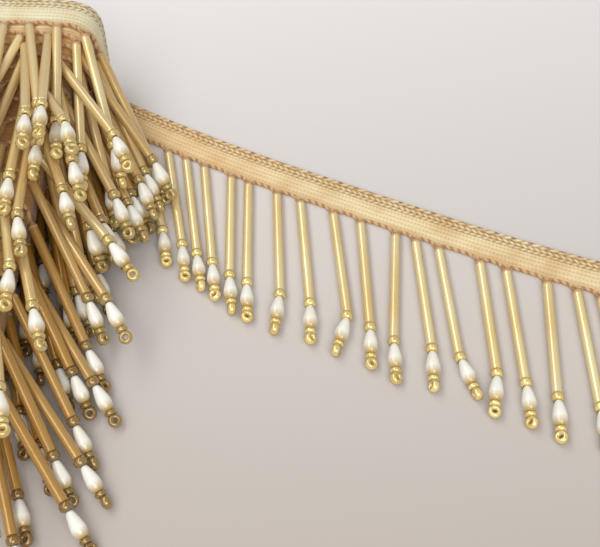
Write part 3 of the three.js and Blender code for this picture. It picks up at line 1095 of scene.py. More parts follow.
# dark in the yarn's hollows as painted shade, lighter up its crowns as painted light
EDGE_YARN = EndTintFinish(
    "edging_yarn",
    (0.34, 0.15, 0.04),
    (0.24, 0.1, 0.03),
    roughness=0.6,
    sheen=0.3,
    scale=500,
    end_colour=(0.64, 0.41, 0.19),
    start_share=0.0,
    end_share=0.8,
)
BUGLE_GLASS = GlassFinish(
    "silver_lined_gold_glass",
    (1.0, 0.89, 0.52),
    (0.94, 0.72, 0.32),
    roughness=0.25,
    metallic=0.3,
    coat=1.0,
    coat_roughness=0.04,
    scale=45,
)
SEED_GLASS = GlassFinish(
    "amber_seed_glass",
    (1.0, 0.82, 0.35),
    (0.9, 0.66, 0.22),
    roughness=0.12,
    metallic=0.3,
    coat=1.0,
    scale=200,
    depth_and_shade_colour=(0.24, 0.13, 0.03),
    side_share=0.9,
)
PEARL = EndTintFinish(
    "ivory_pearl",
    (0.98, 0.97, 0.9),
    (0.94, 0.91, 0.79),
    roughness=0.28,
    coat=1.0,
    scale=80,
    # golden towards the lower end: partly the pearl's thin coat, partly painted reflection of the
    # gold glass
    end_colour=(0.55, 0.38, 0.12),
    start_share=0.64,
    end_share=0.95,
)


class Slot(Enum):
    """The record's material slots."""

    GIMP = "gimp_braid"
    BEADS = "bead_fringe"


def dress(piece: bpy.types.Object, material: bpy.types.Material) -> None:
    """Gives a piece its material and the body that it rides on, and reports it.

    Args:
        piece: The piece.
        material: Its material.
    """
    piece.data.materials.append(material)
    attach(piece, "root")
    LOG.info("%s: %d faces", piece.name, len(piece.data.polygons))


# The braid's pieces


@dataclass
class BraidSection:
    """The braid's cross-section, from its far edge round over the face and back underneath."""

    full: float = 9.7
    across: int = 40
    # middle, half width, rise, pitch of the twist, slant of the twist
    cords: tuple[tuple[float, ...], ...] = (
        (0.68, 0.66, 0.42, 2.3, 0.7),
        (1.92, 0.54, 0.3, 1.6, -0.7),
        (2.95, 0.46, 0.24, 1.6, 0.7),
    )
    # steady part, and part that goes with the twist
    cord_rise: tuple[float, float] = (0.8, 0.2)
    # painted light: lighter on the cords' crowns and along their twist, painted shade between
    cord_light: tuple[float, float] = (0.68, 0.32)
    # where the ribbed part begins, and over what distance it rises
    ribs: tuple[float, float] = (3.4, 0.2)
    weft_pitch: float = 0.95
    # how far the weft sways, and how often in a millimetre
    weft_sway: tuple[float, float] = (0.15, 2.1)
    # first row, and pitch of the rows
    rows: tuple[float, float] = (3.6, 1.25)
    # steady part, part of the weft and part of the rows
    rib_rise: tuple[float, float, float] = (0.16, 0.05, 0.05)
    # painted light on the ribs, painted shade between them
    rib_light: tuple[float, float, float] = (0.76, 0.12, 0.12)
    stitch_pitch: float = 4.2
    # how steeply a stitch begins and ends, and how narrow it is
    stitch_shape: tuple[float, float] = (3.0, 1.2)
    stitch_dark: float = 0.85
    stitch_reach: float = 1.3
    scallop: float = 0.9
    scallop_width: float = 1.2
    # shares of the width at which the underside has points
    under: tuple[float, ...] = (0.93, 0.6, 0.3, 0.05)
    # share of the points that bunch at the two edges
    bunched: float = 0.35
    # share of the width that is rounded at each edge, and the height and painted light left at the
    # edges, as painted shade where the braid rounds over
    round_share: float = 0.03
    edge_height: float = 0.5
    edge_light: float = 0.3

    def face(self, along: np.ndarray, back: np.ndarray) -> tuple[np.ndarray, np.ndarray]:
        """Relief of the braid's face above its ground, in millimetres, and how light it is painted.

        Three twisted cords lie along the far edge, the first the thickest, and the rest is ribbed
        across by the weft. A cord is a half circle across, |back - middle| < half, and its twist is
        a sine that runs aslant over it. Short dark stitches go over the far edge.

        Args:
            along: Distances along the braid.
            back: Distances in front of the far edge.

        Returns:
            Heights, and painted light from 0 in a groove, as painted shade, to 1 on a crown,
            darkened by the stitches, for each pair of the two.
        """
        relief, light = 0.0, 0.0
        for middle, half, rise, pitch, slant in self.cords:
            crown = np.sqrt(np.clip(1 - ((back - middle) / half) ** 2, 0, 1))
            twist = np.sin(2 * math.pi * (along / pitch + slant * (back - middle)))
            relief = relief + crown * rise * (self.cord_rise[0] + self.cord_rise[1] * twist)
            light = light + crown * (self.cord_light[0] + self.cord_light[1] * twist)
        (ribs_from, fade), (sway, often) = self.ribs, self.weft_sway
        ribbed = np.clip((back - ribs_from) / fade, 0, 1)
        weft = np.sin(2 * math.pi * (along / self.weft_pitch + sway * np.sin(back * often)))
        rows = np.cos(2 * math.pi * (back - self.rows[0]) / self.rows[1])
        steady, with_weft, with_rows = self.rib_rise
        relief = relief + ribbed * (steady + with_weft * weft + with_rows * rows)
        steady, with_weft, with_rows = self.rib_light
        light = light + ribbed * (steady + with_weft * weft + with_rows * rows)
        (steep, narrow), wave = self.stitch_shape, np.sin(2 * math.pi * along / self.stitch_pitch)
        stitch = np.clip(steep * wave - narrow, 0, 1)
        at_edge = np.clip(self.stitch_reach - back, 0, 1)
        return relief, light * (1 - self.stitch_dark * stitch * at_edge)

    def lower_edge(self, along: np.ndarray, roots: np.ndarray) -> np.ndarray:
        """Where the lower edge runs: drawn down to a point at each drop, scalloped between them.

        Args:
            along: Distances along the braid.
            roots: Distances of the drops, in order.

        Returns:
            Distance of the lower edge from the far edge.
        """
        right = np.clip(np.searchsorted(roots, along), 1, len(roots) - 1)
        nearest = np.minimum(np.abs(along - roots[right - 1]), np.abs(along - roots[right]))
        point = np.exp(-((nearest / self.scallop_width) ** 2))
        return self.full - self.scallop + self.scallop * point

    def grid(self, along: np.ndarray, roots: np.ndarray) -> tuple[np.ndarray, ...]:
        """The section at many distances along: points bunch by a cosine at the two edges.

        Args:
            along: (N,) distances along the braid.
            roots: Distances of the drops.

        Returns:
            Back, relief, side (1 on the face, 0 underneath) and painted light, each (N, K).
        """
        t = np.linspace(0, 1, self.across)
        over = 0.5 - 0.5 * np.cos(math.pi * t)
        over = self.bunched * over + (1 - self.bunched) * t
        edge = self.lower_edge(along, roots)[:, None]
        back = np.concatenate([over, self.under])[None] * edge
        beneath = np.zeros(len(self.under))
        rounding = np.clip(np.minimum(t, 1 - t) / self.round_share, 0, 1) ** 0.5
        side = self.edge_height + (1 - self.edge_height) * rounding
        side = np.broadcast_to(np.concatenate([side, beneath]), back.shape)
        rounding = np.concatenate([rounding, beneath])[None]
        relief, light = self.face(along[:, None], back)
        # painted shade where the braid rounds over at its edges
        light = light * (self.edge_light + (1 - self.edge_light) * rounding)
        return back, relief * rounding, side, light


@dataclass
class Braid:
    """The gimp braid: its lying tail, its wound length, and the cords on its lower edge."""

    winding: Winding
    tail: TailLine
    section: BraidSection = field(default_factory=BraidSection)
    tail_ground: float = 1.15
    tail_first: float = 0.6
    tail_step: float = 0.35
    wound_ground: float = 0.8
    wound_first: float = 0.3
    wound_relief: float = 0.8
    wound_gap: float = 0.05
    # turns up to which the steps along are fine, and the fine and the coarse step
    fine_turns: float = 1.2
    wound_steps: tuple[float, float] = (0.4, 0.8)
    # turns, and the share of the painted light that is left there, as painted shade on the inner
    # turns
    dim_turns: tuple[float, ...] = (0.6, 2.5, 5.0)
    dim_light: tuple[float, ...] = (1.0, 0.6, 0.35)
    cord_radius: float = 0.52
    cord_sides: int = 10
    cord_pitch: float = 1.9
    cord_wave: float = 0.2
    # steady part, and part that goes with the wave
    # painted light on the cord's knobs, painted shade between them
    cord_light: tuple[float, float] = (0.55, 0.45)
    # how far the cord is set into the roll, and how far it lies clear of the surface at the tail
    cord_inset: float = 0.1
    cord_lift: float = 0.12

    def closed(
        self, name: str, grid: np.ndarray, along: np.ndarray, back: np.ndarray, light: np.ndarray
    ) -> bpy.types.Object:
        """A mesh from rings of points along the braid, with its two ends filled by folded faces.

        Its map holds the distance along in metres, and the distance across in centimetres.

        Args:
            name: Name of the piece.
            grid: (N, K, 3) rings of points.
            along: (N,) distances along the braid.
            back: (N, K) distances in front of the far edge.
            light: (N, K) how light the points are painted.

        Returns:
            The object.
        """
        rows, columns = back.shape
        quads = grid_quads(rows, columns, round_columns=True)
        k = np.arange(columns // 2 - 1)
        cap = np.stack([k, k + 1, columns - 2 - k, columns - 1 - k], axis=1)
        last = (rows - 1) * columns + cap[:, ::-1]
        faces = np.concatenate([quads, cap, last])
        uv = np.stack([np.broadcast_to(along[:, None] * MM, back.shape), back / 10], axis=-1)
        return mesh_object(name, grid.reshape(-1, 3), faces, uv.reshape(-1, 2), light.ravel())

    def lying(self, roots: np.ndarray) -> bpy.types.Object:
        """The tail: the section swept along the path on the surface.

        Args:
            roots: Distances of the drops along the tail.

        Returns:
            The object.
        """
        along = self.tail_marks()
        back, relief, side, light = self.section.grid(along, roots)
        height = FLOOR_GAP + side * self.tail_ground + relief
        grid = self.tail.point(along[:, None], back, height)
        return self.closed("tail_gimp_braid", grid, along, back, light)

    def wound(self, roots: np.ndarray) -> bpy.types.Object:
        """The roll: the section swept along the winding, its face outward.

        Args:
            roots: Distances of the drops along the wound braid.

        Returns:
            The object.
        """
        along, turn = self.wound_marks()
        back, relief, side, light = self.section.grid(along, roots)
        # painted shade: the inner turns are painted darker
        light = light * np.interp(turn, self.dim_turns, self.dim_light)[:, None]
        inset = (1 - side) * self.wound_ground - relief * self.wound_relief + self.wound_gap
        grid = above_floor(self.winding.point(turn[:, None], inset, back))
        # taken the other way round, so that the faces look outward
        turned = (grid[:, ::-1], along, back[:, ::-1], light[:, ::-1])
        return self.closed("wound_gimp_braid", *turned)

    def tail_marks(self) -> np.ndarray:
        """Distances along the tail."""
        return np.arange(self.tail_first, self.tail.length, self.tail_step)

    def wound_marks(self) -> tuple[np.ndarray, np.ndarray]:
        """Places along the wound braid: close together on the turns that show most.

        Returns:
            Distances along it, and their turn counts.
        """
        turns, lengths = self.winding.lengths()
        change = float(np.interp(self.fine_turns, turns, lengths))
        fine, coarse = self.wound_steps
        along = np.arange(self.wound_first, change, fine)
        along = np.concatenate([along, np.arange(change, lengths[-1], coarse)])
        return along, np.interp(along, lengths, turns)

    def edging(
        self, name: str, along: np.ndarray, line: np.ndarray, outward: np.ndarray
    ) -> bpy.types.Object:
        """The knobbly cord that edges the braid: a tube whose radius winds round as it goes.

        The radius is r (1 + w sin(angle + 2 pi along / pitch)), and the cord is painted light where
        it is thick and painted shade where it is thin.

        Args:
            name: Name of the piece.
            along: (N,) distances along the braid.
            line: (N, 3) the cord's middle line.
            outward: (N, 3) directions away from the braid's back.

        Returns:
            The object.
        """
        angle = 2 * math.pi * np.arange(self.cord_sides) / self.cord_sides
        run = unit(np.gradient(line, axis=0))
        side = unit(np.cross(run, outward))
        face = np.cross(side, run)
        wave = np.sin(angle[None] + 2 * math.pi * along[:, None] / self.cord_pitch)
        radius = self.cord_radius * (1 + self.cord_wave * wave)
        ring = side[:, None] * np.cos(angle)[None, :, None]
        ring = ring + face[:, None] * np.sin(angle)[None, :, None]
        points = above_floor(line[:, None] + ring * radius[:, :, None])
        light = self.cord_light[0] + self.cord_light[1] * wave
        quads = grid_quads(len(along), self.cord_sides, round_columns=True)[:, ::-1]
        return mesh_object(name, points.reshape(-1, 3), quads, tone=light.ravel())

    def edgings(
        self, roll_roots: np.ndarray, tail_roots: np.ndarray
    ) -> tuple[bpy.types.Object, bpy.types.Object]:
        """The edging cords of the roll and of the tail.

        Args:
            roll_roots: Distances of the drops along the wound braid.
            tail_roots: Distances of the drops along the tail.

        Returns:
            The two objects.
        """
        along, turn = self.wound_marks()
        edge = self.section.lower_edge(along, roll_roots)
        inset = np.full_like(along, self.cord_radius - self.cord_inset)
        line = self.winding.point(turn, inset, edge)
        outward = self.winding.outward(turn, line)
        rolled = self.edging("roll_edging_cord", along, line, outward)
        along = self.tail_marks()
        edge = self.section.lower_edge(along, tail_roots)
        height = np.full_like(along, self.cord_radius + self.cord_lift)
        line = self.tail.point(along, edge, height)
        outward = np.tile(UP, (len(along), 1))
        return rolled, self.edging("tail_edging_cord", along, line, outward)


@dataclass(frozen=True)
class InnerForm:
    """The wound braid's filled inside, painted dark as painted shade, which shows between the turns
    and behind them.

    One sheet runs from each turn to the next, just under the braid. In front it closes to the
    middle of the last turn. Behind it closes to the middle of the roll, a little hollow, with a
    ridge for the edge of each turn.
    """

    winding: Winding
    per_turn: int = 72
    rings: int = 40
    inset: float = 1.1
    sheet_back: float = 2.5
    rim_back: float = 0.4
    layer: float = 1.1
    ridge: float = 0.5
    ridge_power: float = 0.6
    hollow: float = 5.0
    sunk: float = 0.6
    front_depth: float = 8.0
    front_shares: tuple[float, ...] = (1.0, 0.5, 0.02)
    # painted light: the sheets dark as painted shade inside the roll, the rim and the ridges
    # lighter
    sheet_light: float = 0.1
    rim_light: float = 0.5
    # painted light in a groove, and how much more on a ridge for each millimetre
    ridge_light: tuple[float, float] = (0.15, 1.4)

    def behind(self) -> tuple[np.ndarray, np.ndarray]:
        """The spiral of edges behind: rings that shrink from the rim to the middle.

        A ring at a share s of the way in lies hollow * s deep. On it stands the ridge,
        |sin(pi (radius / layer - turn))| to a power, which winds inward as the braid does.

        Returns:
            (rings + 1, per_turn + 1, 3) places, the rim first, and the heights of the ridge.
        """
        winding, turn = self.winding, np.arange(self.per_turn + 1) / self.per_turn
        rim = winding.point(turn, self.inset, self.rim_back)
        rim[-1] = rim[0]
        middle = winding.at(turn[:1])[3][0]
        centre = np.array([winding.middle_x, winding.far_y - self.rim_back, middle])
        share = np.linspace(0, 1, self.rings + 1)[1:]
        rings = centre + (rim - centre) * (1 - share)[:, None, None]
        radius = np.abs(rim[:, 0] - centre[0]).max() * (1 - share)[:, None]
        phase = radius / self.layer - turn[None]
        ridge = self.ridge * np.abs(np.sin(math.pi * phase)) ** self.ridge_power
        rings[..., 1] = centre[1] - self.hollow * share[:, None] - self.sunk + ridge
        return np.concatenate([rim[None], rings]), ridge

    def front(self, last: np.ndarray) -> np.ndarray:
        """Rings that close the sheet in front, drawn to the middle of the last turn.

        Args:
            last: (K, 3) the sheet's last turn.

        Returns:
            (rings, K, 3) places.
        """
        winding = self.winding
        slip, _, _, middle = winding.at(np.array(float(winding.turns)))
        tip = np.array([winding.middle_x, winding.far_y - slip - self.front_depth, middle])
        return tip + (last - tip) * np.array(self.front_shares)[:, None, None]

    def build(self) -> bpy.types.Object:
        """The whole inside as one mesh.

        Returns:
            The object.
        """
        winding, per = self.winding, self.per_turn
        behind, ridge = self.behind()
        turn = np.arange(winding.turns * per + 1) / per
        sheet = winding.point(turn, self.inset, self.sheet_back)
        front = self.front(sheet[-per - 1 :])
        start = behind.size // 3
        rim = start + len(sheet)
        k = start + np.arange(len(sheet) - 1 - per)
        strip = np.stack([k, k + 1, k + 1 + per, k + per], axis=1)
        k = np.arange(per)
        collar = np.stack([rim + k, rim + k + 1, start + k + 1, start + k], axis=1)
        # the corner that a face starts from sets the diagonal that it is cut along
        spiral = np.roll(grid_quads(len(behind), per + 1), -1, axis=1)
        closing = grid_quads(len(front), per + 1, start=rim + per + 1)[:, OTHER_WAY]
        parts = [behind.reshape(-1, 3), sheet, behind[0], front.reshape(-1, 3)]
        points = np.concatenate(parts)
        quads = np.concatenate([spiral, strip, collar, closing])
        uv = np.stack([points[:, 0] * MM, np.full(len(points), 0.5)], axis=1)
        # painted shade on the sheets, painted light on the rim and on the ridges
        light = np.full(len(points), self.sheet_light)
        light[:start] = self.rim_light
        light[per + 1 : start] = self.ridge_light[0] + self.ridge_light[1] * ridge.ravel()
        return mesh_object("wound_inner_form", points, quads, uv, light)


# The drops' pieces

# Each profile is pairs of distance along the hole and radius
SEED_PROFILE = (
    (0.3, 0.5),
    (0.0, 0.9),
    (0.22, 1.3),
    (0.7, 1.48),
    (1.3, 1.48),
    (1.78, 1.3),
    (2.0, 0.9),
    (1.7, 0.5),
)
END_PROFILE = tuple((0.62 * along, 0.95 * radius) for along, radius in SEED_PROFILE)
STOP_PROFILE = tuple((0.95 * along, 1.07 * radius) for along, radius in SEED_PROFILE)
KNOT_PROFILE = ((0.15, 0.3), (0.0, 0.6), (0.3, 1.02), (0.9, 1.18), (1.4, 0.95), (1.5, 0.3))
PEARL_PROFILE = (
    (0.1, 0.4),
    (0.0, 0.62),
    (0.35, 0.85),
    (1.3, 1.16),
    (2.5, 1.45),
    (3.7, 1.67),
    (4.7, 1.7),
    (5.5, 1.5),
    (6.1, 1.15),
    (6.4, 0.75),
    (6.3, 0.4),
)


@dataclass
class Bead:
    """A bead turned about its hole: pairs of distance along it and radius, closed into a ring."""

    profile: tuple[tuple[float, float], ...]
    sides: int = 12
    sharp_degrees: float = 180.0

    def strung(
        self,
        name: str,
        start: np.ndarray,
        axis: np.ndarray,
        aside: np.ndarray,
        size: np.ndarray,
        shade: np.ndarray | None = None,
    ) -> bpy.types.Object:
        """Many of the bead in one mesh: the profile turned about each axis.

        Args:
            name: Name of the piece.
            start: (N, 3) where each begins.
            axis: (N, 3) directions of their holes.
            aside: (N, 3) directions that aren't along them.
            size: (N,) scale of each radius.
            shade: (N,) tone of each, or none for a tone that runs along the bead.

        Returns:
            The object.
        """
        profile = np.array(self.profile)
        side = unit(np.cross(axis, aside))
        face = np.cross(side, axis)
        angle = 2 * math.pi * np.arange(self.sides) / self.sides
        ring = side[:, None] * np.cos(angle)[:, None] + face[:, None] * np.sin(angle)[:, None]
        along = profile[:, 0][None, :, None, None] * axis[:, None, None]
        out = profile[:, 1][None, :, None, None] * ring[:, None] * size[:, None, None, None]
        points = start[:, None, None] + along + out
        each = len(profile) * self.sides
        one = grid_quads(len(profile), self.sides, round_rows=True, round_columns=True)
        quads = repeated(one, each, len(start))
        share = (profile[:, 0] - profile[:, 0].min()) / np.ptp(profile[:, 0])
        tone = share[None, :, None] if shade is None else shade[:, None, None]
        tone = np.broadcast_to(tone, points.shape[:3])
        return mesh_object(
            name,
            points.reshape(-1, 3),
            quads,
            tone=tone.ravel(),
            sharp_degrees=self.sharp_degrees,
        )


@dataclass(frozen=True)
class YarnLoop:
    """Sizes of the two strands of yarn that hold a drop."""

    sides: int = 6
    steps: int = 7
    radius: float = 0.46
    wave: float = 0.05
    wave_turn: float = 9.0
    # steady part, and part that goes with the wave
    # painted light along the twist, painted shade between
    light: tuple[float, float] = (0.5, 0.4)
    bow: float = 0.22
    root_half: float = 1.35
    root_above: float = 0.4
    tube_half: float = 0.5
    into_tube: float = 0.4
    end_height: float = 1.1


@dataclass
class DropString:
    """All the beads and threads of one set of drops."""

    prefix: str
    drops: Drops
    sizes: DropSizes = field(default_factory=DropSizes)
    # how much of the painted shade for lying low and deep in the roll the drops take
    depth: float = 0.0
    # distance along a drop at which its height counts, and the height from which it has no painted
    # shade
    low_mark: float = 20.0
    unshaded_height: float = 22.0
    # number of the drop from which the roll is at its deepest
    deep_number: float = 70.0
    # how brown: steady and by chance anywhere as the glass's own tone, then painted shade low down
    # and deep in the roll
    brown_and_shade: tuple[float, float, float, float] = (0.1, 0.12, 0.8, 0.35)
    # how far the beads are turned about their holes by chance, and how uneven their sizes are
    aside: float = 0.6
    size_spread: float = 0.03
    # how much thicker a tube is than its rod
    glass_over: float = 0.06
    hole: float = 0.5
    # how far a tube's edge is cut back along it and in radius
    chamfer: tuple[float, float] = (0.2, 0.22)
    # heights that keep the bead clear of the surface
    seed_height: float = 1.45
    pearl_height: float = 1.72
    stop_height: float = 1.6
    knot_height: float = 1.2
    # half the width of a stop bead, and how far its middle lies before the end of the drop
    stop_half: float = 0.95
    stop_back: float = 1.6
    # how far above the tube a yarn knot begins
    knot_back: float = 1.2

    def shade(self) -> np.ndarray:
        """How brown each drop's glass is: its own tone by chance, and painted shade low down and
        deep in the roll.

        Returns:
            (N,) shares from 0 to 1.
        """
        steady, spread, when_low, when_deep = self.brown_and_shade
        number = np.arange(len(self.drops.root))
        # painted shade: darker the lower the drop lies and the deeper it sits in the roll
        low = np.clip(1 - self.drops.at(self.low_mark)[:, 2] / self.unshaded_height, 0, 1)
        deep = np.clip(number / self.deep_number, 0, 1)
        chance = steady + spread * scatter(number, Chance.SHADE)
        return np.clip(chance + self.depth * (when_low * low + when_deep * deep), 0, 1)

    def lifted(self, along: float, radius: float) -> np.ndarray:
        """Places along the drops, no lower than a bead of that radius allows.

        Args:
            along: Distance along each drop.
            radius: Least height of the places.

        Returns:
            (N, 3) places.
        """
        places = self.drops.at(along)
        places[:, 2] = np.maximum(places[:, 2], radius)
        return places

    def bead(
        self, name: str, shape: Bead, along: float, radius: float, glass: bool = True
    ) -> bpy.types.Object:
        """One kind of bead on every drop.

        Args:
            name: What the piece's name ends with.
            shape: The bead.
            along: Distance along the drop at which it begins.
            radius: Least height of its middle line.
            glass: Whether its tone is the drop's shade, or runs along the bead.

        Returns:
            The object.
        """
        length = np.ptp(np.array(shape.profile)[:, 0])
        start = self.lifted(along, radius)
        end = self.lifted(along + length, radius)
        axis = unit(end - start)
        number = np.arange(len(axis))
        turned = self.aside * scatter(number, Chance.BEAD_TURN)[:, None] * UP
        aside = unit(self.drops.outward + turned + 0.01)
        size = 1 + self.size_spread * scatter(number, Chance.BEAD_SIZE)
        shade = self.shade() if glass else None
        return shape.strung(f"{self.prefix}_{name}", start, axis, aside, size, shade)

    def bugles(self) -> bpy.types.Object:
        """The long glass tubes.

        Returns:
            The object.
        """
        radius, long, hole = self.sizes.bugle_radius + self.glass_over, self.sizes.bugle, self.hole
        cut, inward = self.chamfer
        start = ((0, hole), (0, radius - inward), (cut, radius))
        end = ((long - cut, radius), (long, radius - inward), (long, hole))
        shape = Bead(start + end, sides=12, sharp_degrees=35)
        return self.bead("bugle_beads", shape, self.sizes.loop, radius)

    def seeds(self) -> bpy.types.Object:
        """The round seed bead under each tube."""
        along = self.sizes.loop + self.sizes.bugle
        return self.bead("seed_beads", Bead(SEED_PROFILE), along, self.seed_height)

    def pearls(self) -> bpy.types.Object:
        """The teardrop pearls.

        Returns:
            The object.
        """
        along = self.sizes.loop + self.sizes.bugle + self.sizes.seed
        shape = Bead(PEARL_PROFILE, sides=14)
        return self.bead("pearls", shape, along, self.pearl_height, glass=False)

    def end_seeds(self) -> bpy.types.Object:
        """The seed bead under each pearl."""
        along = self.sizes.full - self.sizes.end_beads
        return self.bead("end_beads", Bead(END_PROFILE), along, self.seed_height)

    def stops(self) -> bpy.types.Object:
        """The last bead of each drop, turned so that its hole lies across the drop.

        Returns:
            The object.
        """
        centre = self.lifted(self.sizes.full - self.stop_back, self.stop_height)
        line = self.drops.lower
        number = np.arange(len(line))
        level = unit(np.cross(line, UP))
        raised = np.cross(level, line)
        turn = (math.pi / 2) * scatter(number, Chance.STOP_TURN)
        axis = level * np.cos(turn)[:, None] + raised * np.sin(turn)[:, None]
        start = centre - self.stop_half * axis
        size = np.ones(len(line))
        name = f"{self.prefix}_stop_beads"
        return Bead(STOP_PROFILE).strung(name, start, axis, line, size, self.shade())

    def threads(self, beside: np.ndarray) -> bpy.types.Object:
        """The yarn loops: two strands from the braid's edge into each tube, drawn to a point.

        A strand runs straight and bows inward by 4 t (1 - t), and its radius waves as it goes.

        Args:
            beside: (N, 3) directions along the braid at each knot.

        Returns:
            The object.
        """
        loop = YarnLoop()
        t = np.linspace(0, 1, loop.steps)
        bow = loop.bow * 4 * t * (1 - t)
        radius = loop.radius + loop.wave * np.sin(t * loop.wave_turn)
        angle = 2 * math.pi * np.arange(loop.sides) / loop.sides
        end = self.lifted(self.sizes.loop + loop.into_tube, loop.end_height)
        strands = []
        for way in (-1.0, 1.0):
            start = self.drops.knot + beside * loop.root_half * way
            start = start - self.drops.upper * loop.root_above
            finish = end + beside * loop.tube_half * way
            path = start[:, None] + (finish - start)[:, None] * t[:, None]
            path = path - beside[:, None] * (way * bow)[:, None]
            run = unit(end - start)[:, None]
            side = unit(np.cross(run, self.drops.outward[:, None]))
            face = np.cross(side, run)
            ring = side[:, :, None] * np.cos(angle)[:, None]
            ring = ring + face[:, :, None] * np.sin(angle)[:, None]
            strands.append(path[:, :, None] + ring * radius[:, None, None])
        points = above_floor(np.stack(strands, axis=1))
        one = grid_quads(loop.steps, loop.sides, round_columns=True)
        quads = repeated(one, loop.steps * loop.sides, 2 * len(end))
        # painted light on the twist of each strand
        lean = np.sin(loop.wave_turn * t[:, None] + angle[None])
        light = np.broadcast_to(loop.light[0] + loop.light[1] * lean, points.shape[:-1])
        name = f"{self.prefix}_yarn_loops"
        return mesh_object(name, points.reshape(-1, 3), quads, tone=light.ravel())

    def knots(self) -> bpy.types.Object:
        """The small knot of yarn on top of each tube."""
        shape, start = Bead(KNOT_PROFILE, sides=10), self.sizes.loop - self.knot_back
        return self.bead("knots", shape, start, self.knot_height, glass=False)


def place_fringe(
    strings: DropString, beside: np.ndarray
) -> tuple[list[bpy.types.Object], list[bpy.types.Object]]:
    """Makes and dresses every bead and thread of a set of drops.

    Args:
        strings: The drops.
        beside: Directions along the braid at their knots.

    Returns:
        The pieces of glass, and the pieces of yarn.
    """
    bugle, seed = BUGLE_GLASS.material(), SEED_GLASS.material()
    glass = [strings.bugles(), strings.seeds(), strings.end_seeds(), strings.stops()]
    for piece, material in zip(glass, (bugle, seed, seed, seed)):
        dress(piece, material)
    pearls = strings.pearls()
    dress(pearls, PEARL.material())
    yarn = [strings.threads(beside), strings.knots()]
    for piece in yarn:
        dress(piece, EDGE_YARN.material())
    return [*glass, pearls], yarn


# The set that the trim is shown on


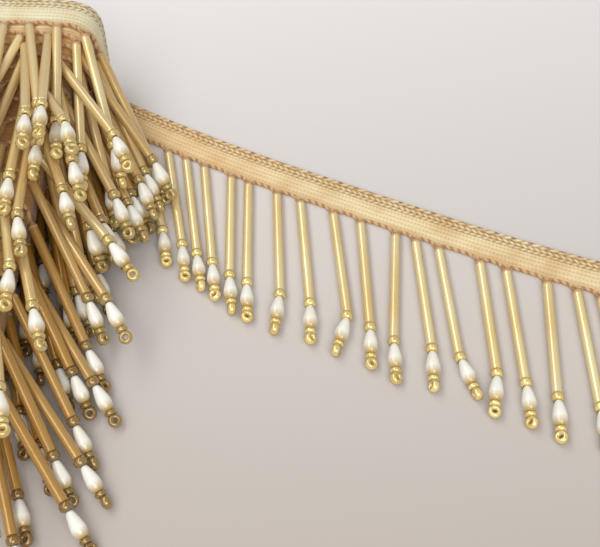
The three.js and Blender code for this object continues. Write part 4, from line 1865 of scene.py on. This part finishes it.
@dataclass
class Studio:
    """The pale floor, the soft lights and the camera."""

    focal: float = 62.4
    sensor: float = 36.0
    clip_metres: float = 0.01
    tilt_degrees: float = 37.0
    camera_mm: tuple[float, float, float] = (17.2, -145.22, 201.6)
    near_floor: tuple[float, float, float] = (0.455, 0.4, 0.355)
    far_floor: tuple[float, float, float] = (0.842, 0.82, 0.818)
    # where in metres the near floor colour ends and the far one begins
    floor_span: tuple[float, float] = (-0.1, 0.13)
    floor_reach: float = 1400.0
    floor_flat: float = 600.0
    floor_rise: float = 500.0
    floor_steps: int = 17
    floor_roughness: float = 0.9
    floor_specular: float = 0.1
    # name, place and size in metres, power in watts
    lamps: tuple[tuple, ...] = (
        ("key_light", (-0.3, 0.0, 0.6), (1.3, 0.3), 3.1),
        ("fill_light", (0.2, -0.6, 0.65), (0.6, 0.6), 4.2),
    )
    surroundings: tuple[float, float, float] = (1.0, 0.98, 0.95)
    surroundings_light: float = 0.36

    def floor(self) -> bpy.types.Object:
        """A wide plain floor that curves up far behind: the height is a square of the way back.

        Returns:
            The object.
        """
        t = np.linspace(0, 1, self.floor_steps)
        y = np.linspace(self.floor_flat, self.floor_reach, self.floor_steps)
        y = np.concatenate([[-self.floor_reach], y])
        z = np.concatenate([[0.0], self.floor_rise * t**2])
        x = np.repeat([-self.floor_reach, self.floor_reach], len(y))
        points = np.stack([x, np.tile(y, 2), np.tile(z, 2)], axis=1)
        floor = mesh_object("floor", points, grid_quads(2, len(y)))
        material = bpy.data.materials.new("pale_floor")
        material.use_nodes = True
        shader = material.node_tree.nodes["Principled BSDF"]
        make = Nodes(material.node_tree)
        place = make.add("ShaderNodeTexCoord")
        split = make.add("ShaderNodeSeparateXYZ")
        make.join(place.outputs["Object"], split.inputs[0])
        back = make.ramp(split.outputs[1], self.floor_span)
        tint = make.mix(back, (*self.near_floor, 1), (*self.far_floor, 1))
        make.join(tint, shader.inputs["Base Color"])
        shader.inputs["Roughness"].default_value = self.floor_roughness
        shader.inputs["Specular IOR Level"].default_value = self.floor_specular
        floor.data.materials.append(material)
        return floor

    def light(
        self,
        name: str,
        place: tuple[float, float, float],
        size: tuple[float, float],
        power: float,
    ) -> None:
        """One soft rectangular light that faces the roll.

        Args:
            name: Name of the light.
            place: Where it hangs, in metres.
            size: Its two sides, in metres.
            power: Its power in watts.
        """
        data = bpy.data.lights.new(name, "AREA")
        data.shape, data.energy = "RECTANGLE", power
        data.size, data.size_y = size
        lamp = bpy.data.objects.new(name, data)
        lamp.location = place
        way = Vector((0, 0, 0)) - Vector(place)
        lamp.rotation_euler = way.to_track_quat("-Z", "Y").to_euler()
        bpy.context.collection.objects.link(lamp)

    def world(self) -> None:
        """Even pale surroundings, and colours shown as they are."""
        world = bpy.data.worlds.new("soft_surroundings")
        world.use_nodes = True
        background = world.node_tree.nodes["Background"]
        background.inputs[0].default_value = (*self.surroundings, 1)
        background.inputs[1].default_value = self.surroundings_light
        bpy.context.scene.world = world
        bpy.context.scene.view_settings.view_transform = "Standard"

    def camera(self) -> None:
        """The camera, above and in front of the trim."""
        data = bpy.data.cameras.new("camera")
        data.lens, data.sensor_width = self.focal, self.sensor
        data.clip_start = self.clip_metres
        camera = bpy.data.objects.new("camera", data)
        camera.location = [c * MM for c in self.camera_mm]
        camera.rotation_euler = (math.radians(self.tilt_degrees), 0, 0)
        bpy.context.collection.objects.link(camera)
        bpy.context.scene.camera = camera

    def build(self) -> None:
        """Sets up floor, lights, surroundings and camera."""
        self.floor()
        for lamp in self.lamps:
            self.light(*lamp)
        self.world()
        self.camera()


def plain(bounds: object) -> object:
    """Bounds as plain lists of rounded numbers."""
    return np.round(np.array(bounds, dtype=float), 6).tolist()


def main() -> None:
    """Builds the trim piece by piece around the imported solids."""
    logging.basicConfig(level=logging.INFO, format="%(name)s: %(message)s")
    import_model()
    winding, tail = Winding(), TailLine()
    roll_aim, tail_aim = RollAim(winding), TailAim(tail)
    rolled, roll_places = roll_aim.drops()
    lying, tail_places = tail_aim.drops()
    rows = zip(vars(rolled).values(), vars(lying).values())
    everything = Drops(*(np.concatenate(pair) for pair in rows))
    free = np.arange(len(everything.root)) < len(rolled.root)
    settled = Settling(winding, tail).run(everything, free)
    LOG.info("settled %d drops", len(free))

    braid = Braid(winding, tail)
    wound, inner = braid.wound(roll_places), InnerForm(winding).build()
    flat = braid.lying(tail_places)
    # the paler copy of the gimp finish, which holds painted light
    painted_lit_gimp = ROLL_GIMP.material()
    dress(wound, painted_lit_gimp)
    dress(inner, painted_lit_gimp)
    dress(flat, TAIL_GIMP.material())
    roll_cord, tail_cord = braid.edgings(roll_places, tail_places)
    for cord in (roll_cord, tail_cord):
        dress(cord, EDGE_YARN.material())
    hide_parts("wound_braid")
    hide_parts("wound_braid")
    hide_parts("tail_braid")

    in_roll = DropString("roll", settled.picked(free), depth=1.0)
    roll_glass, roll_yarn = place_fringe(in_roll, roll_aim.beside(roll_places))
    on_floor = DropString("tail", settled.picked(~free))
    tail_glass, tail_yarn = place_fringe(on_floor, tail_aim.beside(tail_places))
    roll_yarn.append(roll_cord)
    tail_yarn.append(tail_cord)
    for piece in (*roll_glass, *roll_yarn):
        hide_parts("fringe_outer_turns", "fringe_middle_turns", "fringe_inner_turns")
    for piece in (*tail_glass, *tail_yarn):
        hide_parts("tail_fringe")
    float(winding.lengths()[1][-1]) * MM
    Studio().build()


if __name__ == "__main__":
    main()
